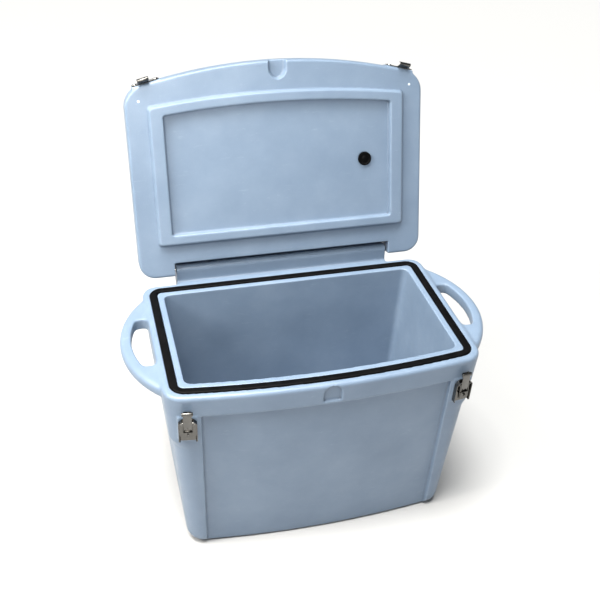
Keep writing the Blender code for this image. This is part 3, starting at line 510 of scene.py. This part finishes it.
def evaluated(target, cutters=()):
    """The target's mesh with its modifiers applied, as a new bmesh; the helpers are removed."""
    bpy.context.view_layer.update()
    graph = bpy.context.evaluated_depsgraph_get()
    mesh = bmesh.new()
    mesh.from_mesh(target.evaluated_get(graph).to_mesh())
    target.evaluated_get(graph).to_mesh_clear()
    for made in (target, *cutters):
        data = made.data
        bpy.data.objects.remove(made, do_unlink=True)
        bpy.data.meshes.remove(data)
    return mesh


def carved(base, steps):
    """The base with each (operation, mesh) applied in turn."""
    target = helper(base, "carving")
    cutters = []
    for operation, mesh in steps:
        cutter = helper(mesh, "cutter")
        step = target.modifiers.new("step", "BOOLEAN")
        step.object = cutter
        step.operation = operation
        step.solver = "EXACT"
        cutters.append(cutter)
    return evaluated(target, cutters)


def cast(mesh, voxel, passes, softer=(), most=180000):
    """The solid as it comes from a mould: skinned evenly, its edges softened, then thinned out."""
    target = helper(mesh, "casting")
    skin = target.modifiers.new("skin", "REMESH")
    skin.mode = "VOXEL"
    skin.voxel_size = voxel
    skinned = evaluated(target)
    for _ in range(passes):
        bmesh.ops.smooth_vert(skinned, verts=skinned.verts, factor=0.5, use_axis_x=True,
                              use_axis_y=True, use_axis_z=True)
    for inside, more in softer:
        chosen = [v for v in skinned.verts if inside(v.co)]
        for _ in range(more):
            bmesh.ops.smooth_vert(skinned, verts=chosen, factor=0.5, use_axis_x=True,
                                  use_axis_y=True, use_axis_z=True)
    count = 2 * len(skinned.faces)
    target = helper(skinned, "thinned")
    thin = target.modifiers.new("thin", "DECIMATE")
    thin.ratio = min(1.0, most / count)
    return evaluated(target)


def piece(name, mesh, paint, body, nodes=(), sharp=40):
    """A finished piece at the origin, riding on a body and standing for CAD nodes."""
    made = helper(mesh, name)
    made.data.materials.append(paint)
    made.data.shade_smooth()
    if sharp:
        made.data.set_sharp_from_angle(angle=math.radians(sharp))
    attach(made, body)
    if nodes:
        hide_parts(*nodes)
    return made


# ---------------------------------------------------------------- frames

def wall_frame(x, front, drop, bow, bow_half, draft):
    """Seat frame on a bowed wall at x: x across, y up the wall, z outwards."""
    slope = 2 * bow * x / bow_half ** 2
    y = -(front - draft * drop) - bow * (1 - (x / bow_half) ** 2)
    out = Vector((slope, -1.0, -draft)).normalized()
    across = Vector((1.0, slope, 0.0)).normalized()
    matrix = Matrix((across, out.cross(across), out)).transposed().to_4x4()
    matrix.translation = Vector((x, y, -drop)) + SEAT_PROUD * out
    return matrix


def latch_frame(side):
    return Matrix.Translation((0, 0, RIM_Z)) @ wall_frame(side * LATCH_X, FRONT_Y, LATCH_DROP, BOW,
                                                          BOW_HALF, WALL_DRAFT)


def keeper_frame(side):
    return wall_frame(side * KEEPER_X, LID_FRONT, -LID_LOW - KEEPER_RISE, LID_BOW, LID_HALF, 0.0)


LID_PLACE = (Matrix.Translation((0, HINGE_Y, HINGE_Z)) @ Matrix.Rotation(-LID_OPEN, 4, "X")
             @ Matrix.Translation((0, -HINGE_Y, -HINGE_RISE)))


# ---------------------------------------------------------------- body

def wall_at(z, step=0.0):
    drop = RIM_Z - z
    return (BAND_HALF - BAND_DRAFT * drop, -(FRONT_Y - WALL_DRAFT * drop - step),
            BACK_Y - WALL_DRAFT * drop - step)


def outer_form():
    mesh = drafted_block(wall_at(0.0), wall_at(RIM_Z), 0.0, RIM_Z, CORNER_R, BASE_ROUND, RIM_ROUND)
    for level in (END_STEP_Z, END_STEP_Z - END_STEP_RAMP):
        geometry = mesh.verts[:] + mesh.edges[:] + mesh.faces[:]
        bmesh.ops.bisect_plane(mesh, geom=geometry, plane_co=(0, 0, level), plane_no=(0, 0, 1), dist=1e-6)
    for v in mesh.verts:
        if v.co.z < END_STEP_Z - END_STEP_RAMP / 2:
            v.co.x *= 1 - END_STEP_IN / wall_at(v.co.z)[0]
    return mesh


def handle_plate():
    """The disc whose edge is the handle's arc, cut off inside the body wall."""
    centre_x = HANDLE_REACH - HANDLE_R
    mesh = round_bar(HANDLE_R, HANDLE_LOW, HANDLE_TOP, segments=128, centre=(centre_x, 0))
    rims = [e for e in mesh.edges if abs(e.verts[0].co.z - e.verts[1].co.z) < 1e-6]
    bevelled(mesh, rims, HANDLE_ROUND, 6)
    geometry = mesh.verts[:] + mesh.edges[:] + mesh.faces[:]
    cut = bmesh.ops.bisect_plane(mesh, geom=geometry, plane_co=(HANDLE_CUT_X, 0, 0),
                                 plane_no=(-1, 0, 0), clear_outer=True)
    rim = [item for item in cut["geom_cut"] if isinstance(item, bmesh.types.BMEdge)]
    bmesh.ops.edgeloop_fill(mesh, edges=rim)
    bmesh.ops.recalc_face_normals(mesh, faces=mesh.faces)
    return mesh


def finger_hole():
    """The hand hole between the bar and the wall, with rounded corners."""
    centre_x = HANDLE_REACH - HANDLE_R
    radius = HANDLE_R - HANDLE_BAR
    wall = BAND_HALF - BAND_DRAFT * (RIM_Z - (HANDLE_TOP + HANDLE_LOW) / 2)
    bend = math.degrees(math.asin(FINGER_HALF / radius))
    points = arc((centre_x, 0), radius, -bend, bend, 24) + [(wall, FINGER_HALF), (wall, -FINGER_HALF)]
    mesh = swept(points, HANDLE_LOW - CUT_PAST, HANDLE_TOP + CUT_PAST, "Z")
    corners = [e for e in mesh.edges
               if abs(e.verts[0].co.z - e.verts[1].co.z) > CUT_PAST
               and abs(abs(e.verts[0].co.y) - FINGER_HALF) < 1e-5]
    bevelled(mesh, corners, FINGER_ROUND, 5)
    return mesh


def hump():
    """The hinge hump: a round nose about the rod, a stop rib behind and a gusset down the back wall."""
    turn, up = LID_OPEN, HINGE_Y - NOTCH_Y
    start = Vector((HINGE_Y - up * math.cos(turn), HINGE_Z + up * math.sin(turn)))
    reach = (HUMP_BACK - start.x) / math.sin(turn)
    stop_z = start.y + reach * math.cos(turn) - STOP_GAP
    root_y = BACK_Y - WALL_DRAFT * HUMP_DROP
    points = arc((HINGE_Y, HINGE_Z), HUMP_R, 180, 60, 16)
    points += [(HUMP_BACK - 0.006, HINGE_Z + HUMP_R * 0.55), (HUMP_BACK - 0.004, stop_z),
               (HUMP_BACK, stop_z), (HUMP_BACK, RIM_Z - 0.006), (root_y, RIM_Z - HUMP_DROP),
               (root_y - HUMP_WALL, RIM_Z - HUMP_DROP), (root_y - HUMP_WALL, RIM_Z - GAP),
               (HINGE_Y - HUMP_R - 0.001, RIM_Z - GAP)]
    return swept(points, -HUMP_HALF, HUMP_HALF)


def front_panel():
    levels = []
    for z in (-CUT_PAST, RIM_Z - BAND_HEIGHT):
        half = PANEL_HALF - PANEL_EDGE - PANEL_SIDE_DRAFT * (RIM_Z - BAND_HEIGHT - z)
        levels.append((half, -FRONT_PANEL_OUT, wall_at(z, PANEL_STEP)[1]))
    mesh = drafted_block(*levels, -CUT_PAST, RIM_Z - BAND_HEIGHT)
    for v in mesh.verts:
        if v.co.y < PANEL_STEP - FRONT_PANEL_OUT:
            v.co.x *= PANEL_FLARE
    return mesh


def back_panel():
    levels = []
    for z in (-CUT_PAST, RIM_Z - BACK_PANEL_DROP):
        half = PANEL_HALF - PANEL_EDGE - PANEL_SIDE_DRAFT * (RIM_Z - BAND_HEIGHT - z)
        levels.append((half, wall_at(z, PANEL_STEP)[2], BACK_PANEL_OUT))
    mesh = drafted_block(*levels, -CUT_PAST, RIM_Z - BACK_PANEL_DROP, bow=0)
    for v in mesh.verts:
        if v.co.y > BACK_PANEL_OUT - PANEL_STEP:
            v.co.x *= PANEL_FLARE
    return mesh


def liner():
    def at(z):
        less = LINER_DRAFT * (RIM_Z - z)
        return (MOUTH_HALF - less, -(MOUTH_DEPTH - less), MOUTH_DEPTH - less)

    top = RIM_Z + CUT_PAST
    return drafted_block(at(FLOOR_Z), at(top), FLOOR_Z, top, MOUTH_R, FLOOR_ROUND)


def rim_ring(spare, low, high, edge=0.0):
    """A bowed band round the mouth: the gasket, or the cutter of its groove."""
    half, depth = GASKET_HALF + spare, GASKET_DEPTH + spare
    mesh = bmesh.new()
    bmesh.ops.create_grid(mesh, x_segments=1, y_segments=1, size=1.0)
    bmesh.ops.scale(mesh, vec=(half, depth, 1), verts=mesh.verts)
    bmesh.ops.translate(mesh, vec=(0, 0, high), verts=mesh.verts)
    bmesh.ops.bevel(mesh, geom=mesh.verts[:], offset=GASKET_R + spare, segments=10, profile=0.5,
                    affect="VERTICES", material=-1)
    bmesh.ops.inset_region(mesh, faces=mesh.faces[:], thickness=GASKET_WIDTH + 2 * spare,
                           use_even_offset=True, use_boundary=True)
    inner = max(mesh.faces, key=lambda f: len(f.verts))
    bmesh.ops.delete(mesh, geom=[inner], context="FACES_ONLY")
    grown = bmesh.ops.extrude_face_region(mesh, geom=mesh.faces[:])
    moved = [item for item in grown["geom"] if isinstance(item, bmesh.types.BMVert)]
    bmesh.ops.translate(mesh, vec=(0, 0, low - high), verts=moved)
    bmesh.ops.recalc_face_normals(mesh, faces=mesh.faces)
    if edge:
        rims = [e for e in mesh.edges
                if all(abs(v.co.z - high) < 1e-6 for v in e.verts)
                and any(abs(f.normal.z) < 0.5 for f in e.link_faces)]
        bevelled(mesh, rims, edge, 4)
    bowed(mesh, BOW, BOW_HALF)
    return mesh


def thumb_recess():
    """An arched finger recess in the band, deepest under its arch and running out at its foot."""
    face = -(FRONT_Y + BOW)
    top = THUMB_TOP - THUMB_HALF
    points = arc((0, top), THUMB_HALF, 0, 180, 24) + [(-THUMB_HALF, THUMB_LOW), (THUMB_HALF, THUMB_LOW)]
    mesh = swept(points, face - CUT_PAST, face + THUMB_DEPTH, "Y")
    for v in mesh.verts:
        if v.co.y > face:
            v.co.y = face + WALL_DRAFT * (RIM_Z - v.co.z) + THUMB_DEPTH
    return mesh


def latch_seat(side, half_x, half_y, deep, frame_of):
    return plain_block((-half_x, -half_y, -deep), (half_x, half_y, 0), frame_of(side))


def build_body():
    plate, hole = handle_plate(), finger_hole()
    steps = [("UNION", mirrored(plate)), ("UNION", plate), ("UNION", hump())]
    for side in (-1, 1):
        steps.append(("UNION", latch_seat(side, 0.018, 0.0275, 0.008, latch_frame)))
    steps += [("DIFFERENCE", mirrored(hole)), ("DIFFERENCE", hole)]
    steps += [("DIFFERENCE", front_panel()), ("DIFFERENCE", back_panel()),
              ("DIFFERENCE", thumb_recess())]
    for side in (-1, 1):
        relief = plain_block((-0.0075, LATCH_DROP - 0.025, -0.0022), (0.0075, LATCH_DROP - 0.012, CUT_PAST),
                             latch_frame(side))
        steps.append(("DIFFERENCE", relief))
    steps.append(("DIFFERENCE", liner()))
    steps.append(("DIFFERENCE", rim_ring(GAP, RIM_Z - GROOVE_DEPTH, RIM_Z + CUT_PAST)))
    solid = carved(outer_form(), steps)

    def near_handle(place):
        return abs(place.x) > 0.2875 and HANDLE_LOW - 0.02 < place.z < RIM_Z

    voxel = 0.0018
    skin = cast(solid, voxel, 2, [(near_handle, 12)])
    piece("body", skin, PLASTIC, "box", ["body_shell"], sharp=0)


build_body()
gasket = rim_ring(0.0, RIM_Z - GROOVE_DEPTH + GAP, RIM_Z + GASKET_PROUD, GASKET_EDGE)
piece("gasket", gasket, RUBBER, "box", ["rim_gasket"])


# ---------------------------------------------------------------- lid

def build_lid():
    full = (LID_HALF, -LID_FRONT, LID_BACK)
    slab = drafted_block(full, full, LID_LOW, LID_HIGH, LID_CORNER, LID_EDGE_ROUND,
                         LID_TOP_ROUND, LID_BOW, LID_HALF)
    half, depth = MOUTH_HALF - FRAME_CLEAR, MOUTH_DEPTH - FRAME_CLEAR
    frame_low = (half, -depth, depth)
    frame_high = (half + FRAME_FLARE, -depth - FRAME_FLARE, depth + FRAME_FLARE)
    raised = drafted_block(frame_low, frame_high, FRAME_FACE, LID_LOW + 0.0045, FRAME_R, FRAME_ROUND)
    recess_low = (RECESS_HALF, -RECESS_DEPTH, RECESS_DEPTH)
    recess_high = (RECESS_HALF - RECESS_DRAFT, RECESS_DRAFT - RECESS_DEPTH, RECESS_DEPTH - RECESS_DRAFT)
    recess = drafted_block(recess_low, recess_high, FRAME_FACE - CUT_PAST, LID_LOW + 0.0015, RECESS_R)
    steps = [("UNION", raised)]
    for side in (-1, 1):
        steps.append(("UNION", latch_seat(side, 0.0275, 0.0125, 0.012, keeper_frame)))
    steps.append(("DIFFERENCE", recess))
    notch_half = HUMP_HALF + NOTCH_CLEAR
    steps.append(("DIFFERENCE", plain_block((-notch_half, NOTCH_Y, -CUT_PAST),
                                            (notch_half, LID_BACK + CUT_PAST, LID_HIGH + CUT_PAST))))
    end_y = -(LID_FRONT + LID_BOW + CUT_PAST)
    scoop = swept([(SCOOP_R, end_y)] + arc((0, SCOOP_END - SCOOP_R), SCOOP_R, 0, 180, 20)
                  + [(-SCOOP_R, end_y)], LID_LOW - CUT_PAST, LID_LOW + SCOOP_DEPTH, "Z")
    for v in scoop.verts:
        if v.co.z > LID_LOW:
            v.co.x *= 0.72
            v.co.y = max(end_y, v.co.y - 0.005)
    steps.append(("DIFFERENCE", scoop))
    steps.append(("DIFFERENCE", round_bar(PLUG_R + GAP, LID_LOW - CUT_PAST, LID_LOW + 0.0023,
                                          centre=(PLUG_X, PLUG_Y))))
    for side in (-1, 1):
        ends = sorted((side * CAP_SEAT_X, side * (LID_HALF + CUT_PAST)))
        steps.append(("DIFFERENCE", round_bar(CAP_SEAT_R, *ends, "X", 32, (HINGE_Y, HINGE_RISE))))
    solid = carved(slab, steps)
    voxel = 0.0015
    skin = cast(solid, voxel, 2, most=190000)
    skin.transform(LID_PLACE)
    piece("lid", skin, PLASTIC, "lid", ["lid_shell"], sharp=0)


build_lid()


def build_pips():
    """Two small sprue marks near the front corners of the lid's underside."""
    for side, word in ((-1, "left"), (1, "right")):
        mesh = bmesh.new()
        bmesh.ops.create_uvsphere(mesh, u_segments=24, v_segments=12, radius=PIP_R)
        bmesh.ops.scale(mesh, vec=(1, 1, PIP_PROUD / PIP_R), verts=mesh.verts)
        bmesh.ops.translate(mesh, vec=(side * PIP_X, PIP_Y, LID_LOW), verts=mesh.verts)
        mesh.transform(LID_PLACE)
        piece(f"sprue_mark_{word}", mesh, PIP_PLASTIC, "lid")


def fill_plug(name, matrix, body):
    """A moulded plug with a raised rim round a sunken face and a low boss in the middle, pressed in after
    foaming.
    """
    mesh = round_bar(PLUG_R, -0.0035, 0.0020, segments=48)
    head = max(mesh.faces, key=lambda f: f.calc_center_median().z)
    bmesh.ops.inset_region(mesh, faces=[head], thickness=0.0026, depth=0.0)
    bmesh.ops.inset_region(mesh, faces=[head], thickness=0.0006, depth=-0.0011)
    bmesh.ops.inset_region(mesh, faces=[head], thickness=0.0050, depth=0.0)
    bmesh.ops.inset_region(mesh, faces=[head], thickness=0.0005, depth=0.0008)
    made = pressed(mesh, matrix, 0.0004)
    piece(f"{name}_plug", made, RUBBER, body, [f"{name}_fill_plug"])


# ---------------------------------------------------------------- sheet-metal helpers

def pressed(mesh, matrix, edge=0.0005):
    """A pressing with its edges eased, put in its place."""
    target = helper(mesh, "pressing")
    ease = target.modifiers.new("ease", "BEVEL")
    ease.width = edge
    ease.segments = 2
    ease.limit_method = "ANGLE"
    ease.angle_limit = math.radians(32)
    made = evaluated(target)
    made.transform(matrix)
    return made


def bent_sheet(path, half, bend=0.0012, centre=0.0):
    """Sheet bent along a path of (y, z) points through its middle, and cut to a width."""
    mesh = bmesh.new()
    row = [mesh.verts.new((centre - half, y, z)) for y, z in path]
    edges = [mesh.edges.new(pair) for pair in zip(row, row[1:])]
    grown = bmesh.ops.extrude_edge_only(mesh, edges=edges)
    moved = [item for item in grown["geom"] if isinstance(item, bmesh.types.BMVert)]
    bmesh.ops.translate(mesh, vec=(2 * half, 0, 0), verts=moved)
    bends = [e for e in mesh.edges if len(e.link_faces) == 2]
    if bends:
        bevelled(mesh, bends, bend, 4)
    target = helper(mesh, "sheet")
    wall = target.modifiers.new("wall", "SOLIDIFY")
    wall.thickness = SHEET
    wall.offset = 0.0
    wall.use_even_offset = True
    made = evaluated(target)
    bmesh.ops.recalc_face_normals(made, faces=made.faces)
    return made


def rivet_head(x, y, face):
    """A domed rivet head standing on a sheet, with a short shank under it."""
    mesh = round_bar(RIVET_R, face - 0.0010, face + RIVET_HEAD, segments=40, centre=(x, y))
    crown = [e for e in mesh.edges if all(v.co.z > face for v in e.verts)]
    bevelled(mesh, crown, 0.00125, 5)
    return mesh


# ---------------------------------------------------------------- keepers and toggle latches

def side_word(side):
    return "left" if side < 0 else "right"


def plate_plan(less=0.0):
    """The base plate's outline: wide chamfers at its top, small ones at its foot."""
    half, reach, top, low = PLATE_HALF - less, PLATE_REACH - less, PLATE_CHAMFER - 0.4 * less, 0.003
    return [(half, reach - top), (half - top, reach), (top - half, reach), (-half, reach - top),
            (-half, low - reach), (low - half, -reach), (half - low, -reach), (half, low - reach)]


def upright_edges(mesh):
    return [e for e in mesh.edges if abs(e.verts[0].co.z - e.verts[1].co.z) > 1e-5]


def build_base(side):
    word, matrix = side_word(side), latch_frame(side)
    tray = swept(plate_plan(), GAP, CHEEK_TOP, "Z")
    bevelled(tray, upright_edges(tray), 0.0015, 5)
    dish = swept(plate_plan(SHEET), PLATE_FACE, CHEEK_TOP + CUT_PAST, "Z")
    bevelled(dish, upright_edges(dish), 0.0008, 5)
    mouth = PLATE_HALF - PLATE_CHAMFER + SHEET * 1.2
    high, reach = CHEEK_TOP + CUT_PAST, PLATE_REACH + CUT_PAST
    foot, half, middle = 0.0023, 0.0017, STAPLE_Y + 0.0006
    tab = [(STAPLE_Y - foot, GAP + 0.0004), (STAPLE_Y + foot, GAP + 0.0004), (middle + half, 0.0085)]
    tab += arc((middle, STAPLE_TOP - 0.0006 - half), half, 0, 180, 16) + [(middle - half, 0.0085)]
    steps = [("DIFFERENCE", dish),
             ("DIFFERENCE", plain_block((-mouth, PLATE_REACH - 4 * SHEET, PLATE_FACE), (mouth, reach, high))),
             ("DIFFERENCE", plain_block((-PLATE_HALF - CUT_PAST, -reach, PLATE_FACE),
                                        (PLATE_HALF + CUT_PAST, 2 * SHEET - PLATE_REACH, high))),
             ("UNION", swept(tab, -SHEET / 2, SHEET / 2))]
    for end in (-1, 1):
        low, top = sorted((end * 0.0101, end * 0.0116))
        ear = ([(PIVOT[0] - 0.0045, GAP + 0.0004), (PIVOT[0] + 0.0045, GAP + 0.0004)]
               + arc(PIVOT, PIVOT_R + 0.0018, 0, 180, 16))
        steps.append(("UNION", swept(ear, low, top)))
    eye = round_bar(0.0008, -0.004, 0.004, "X", 24, (middle, STAPLE_TOP - 0.0024))
    bore = round_bar(PIVOT_R + GAP, -0.014, 0.014, "X", 32, PIVOT)
    steps += [("DIFFERENCE", eye), ("DIFFERENCE", bore)]
    piece(f"base_plate_{word}", pressed(carved(tray, steps), matrix, 0.0006), STEEL, "box",
          [f"latch_base_{word}"])
    for spot, y in (("top", 0.0045), ("low", -0.0165)):
        head = rivet_head(0.0, y, PLATE_FACE)
        head.transform(matrix)
        piece(f"rivet_{spot}_{word}", head, PIN_STEEL, "box", [f"base_rivet_{spot}_{word}"])
    pin = round_bar(PIVOT_R, -0.0126, 0.0126, "X", 32, PIVOT)
    piece(f"pivot_pin_{word}", pressed(pin, matrix), PIN_STEEL, "box", [f"lever_pin_{word}"])


def build_lever(side):
    """The closing lever: a strip slotted over the staple, curled out at its foot, and two ears."""
    word, matrix = side_word(side), latch_frame(side)
    middle = 0.0095 + SHEET / 2
    strip = bent_sheet([(0.0018, middle), (-0.0100, middle), (-0.0125, middle + 0.0001)], 0.0078)
    lip = bent_sheet([(-0.0085, middle), (-0.0100, middle + 0.0002), (-0.0150, middle + 0.0025),
                      (-0.0196, middle + 0.0053), (-0.0210, middle + 0.0062)], 0.0093, 0.0020)
    steps = [("UNION", lip)]
    for end in (-1, 1):
        low, top = sorted((end * 0.0072, end * 0.0094))
        root = swept([(-0.0130, 0.0072), (0.0015, 0.0050), (0.0015, 0.0100), (-0.0130, 0.0100)], low, top)
        low, top = sorted((end * 0.0080, end * 0.0094))
        ear = ([(-0.0130, 0.0072), (0.0070, 0.0023), (0.0140, 0.0023)] + arc(PIVOT, 0.0034, -90, 110, 20)
               + [(0.0020, 0.0098), (-0.0130, 0.0098)])
        steps += [("UNION", swept(ear, low, top)), ("UNION", root)]
    slot = (arc((0, STAPLE_Y + SLOT_R), SLOT_R, 0, 180, 12)
            + arc((0, STAPLE_Y - SLOT_R), SLOT_R, 180, 360, 12))
    steps += [("DIFFERENCE", swept(slot, 0.004, 0.014, "Z")),
              ("DIFFERENCE", round_bar(PIVOT_R + GAP, -0.012, 0.012, "X", 32, PIVOT)),
              ("DIFFERENCE", round_bar(CLAW_AXIS_R + GAP, -0.012, 0.012, "X", 32, CLAW_AXIS))]
    piece(f"lever_{word}", pressed(carved(strip, steps), matrix, 0.0005), STEEL, f"latch_lever_{word}",
          [f"latch_lever_{word}"])


def build_claw(side):
    """The claw: a narrow plate from the lever's cross pin up to a wide, turned-in head."""
    word, matrix = side_word(side), latch_frame(side)
    y, z = CLAW_AXIS
    low = PIVOT[1] + PIVOT_R + 0.0004
    high, top, tail = low + SHEET, CLAW_TOP, 0.0004
    foot = [(y - 0.0015, z - 0.0020), (y + 0.0015, z - 0.0020), (y + 0.0026, z), (y + 0.0026, low - 0.0004),
            (y + 0.0032, low), (0.0395, low), (0.0395, high), (tail, high), (tail, low),
            (y - 0.0026, low), (y - 0.0026, z)]
    plate = swept(foot, -0.0074, 0.0074)
    head = bent_sheet([(0.0388, high - 0.0003), (0.0408, high + 0.0002), (top - 0.0008, high - 0.0008),
                       (top - 0.0008, 0.0034), (top - 0.0045, 0.0034)], 0.0098, 0.0011)
    steps = [("UNION", head),
             ("DIFFERENCE", plain_block((-0.0060, 0.0425, 0.0040), (0.0060, 0.050, 0.0074)))]
    for end in (-1, 1):
        near, far = sorted((end * 0.0068, end * 0.015))
        steps.append(("DIFFERENCE", plain_block((near, 0.038, 0.0), (far, 0.050, 0.0056))))
    steps.append(("DIFFERENCE", round_bar(CLAW_AXIS_R + GAP, -0.01, 0.01, "X", 32, CLAW_AXIS)))
    piece(f"claw_{word}", pressed(carved(plate, steps), matrix, 0.0005), STEEL, f"latch_claw_{word}",
          [f"latch_claw_{word}"])
    pin = round_bar(CLAW_AXIS_R, -0.0092, 0.0092, "X", 32, CLAW_AXIS)
    piece(f"cross_pin_{word}", pressed(pin, matrix, 0.0003), PIN_STEEL, f"latch_claw_{word}",
          [f"claw_pin_{word}"])


def build_keeper(side):
    """The steel plate on the lid's front, with the hook that the claw pulls on."""
    word, matrix = side_word(side), LID_PLACE @ keeper_frame(side)
    plate = plain_block((-0.026, -0.011, GAP), (0.026, 0.011, PLATE_FACE))
    bevelled(plate, upright_edges(plate), 0.005, 6)
    middle, half = side * 0.004, 0.011
    root = GAP + SHEET / 2
    hook = bent_sheet([(-0.004, root + 0.0003), (-0.0105, root + 0.0003), (-0.0145, 0.0029),
                       (-0.0222, 0.0063), (-0.0238, 0.0086), (-0.0230, 0.0104), (-0.0205, 0.0112),
                       (-0.0165, 0.0112)], half, 0.0009, middle)
    solid = carved(plate, [("UNION", hook)])
    piece(f"keeper_plate_{word}", pressed(solid, matrix, 0.0003), STEEL, "lid", [f"keeper_{word}"])
    for end in (-1, 1):
        place = "outer" if end == side else "inner"
        head = rivet_head(end * 0.020, 0.0, PLATE_FACE)
        head.transform(matrix)
        piece(f"keeper_rivet_head_{word}_{place}", head, PIN_STEEL, "lid",
              [f"keeper_rivet_{word}_{place}"])


build_pips()
plug_seat = LID_PLACE @ Matrix.Translation((PLUG_X, PLUG_Y, LID_LOW)) @ Matrix.Rotation(math.pi, 4, "X")
fill_plug("lid", plug_seat, "lid")
for box_side in (-1, 1):
    build_base(box_side)
    build_lever(box_side)
    build_claw(box_side)
    build_keeper(box_side)


# ---------------------------------------------------------------- finish of the CAD nodes that stay

def finish_nodes():
    paints = {"rod_cap": RUBBER, "fill_plug": RUBBER, "foam_core": FOAM, "rod": PIN_STEEL}
    for name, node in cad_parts.items():
        for word, paint in paints.items():
            if word in name:
                node.data.materials.clear()
                node.data.materials.append(paint)
                break


finish_nodes()
aim_camera()
light_studio()

ground = bmesh.new()
bmesh.ops.create_grid(ground, x_segments=1, y_segments=1, size=30.0)
floor = helper(ground, "floor")
floor.data.materials.append(pale_floor())
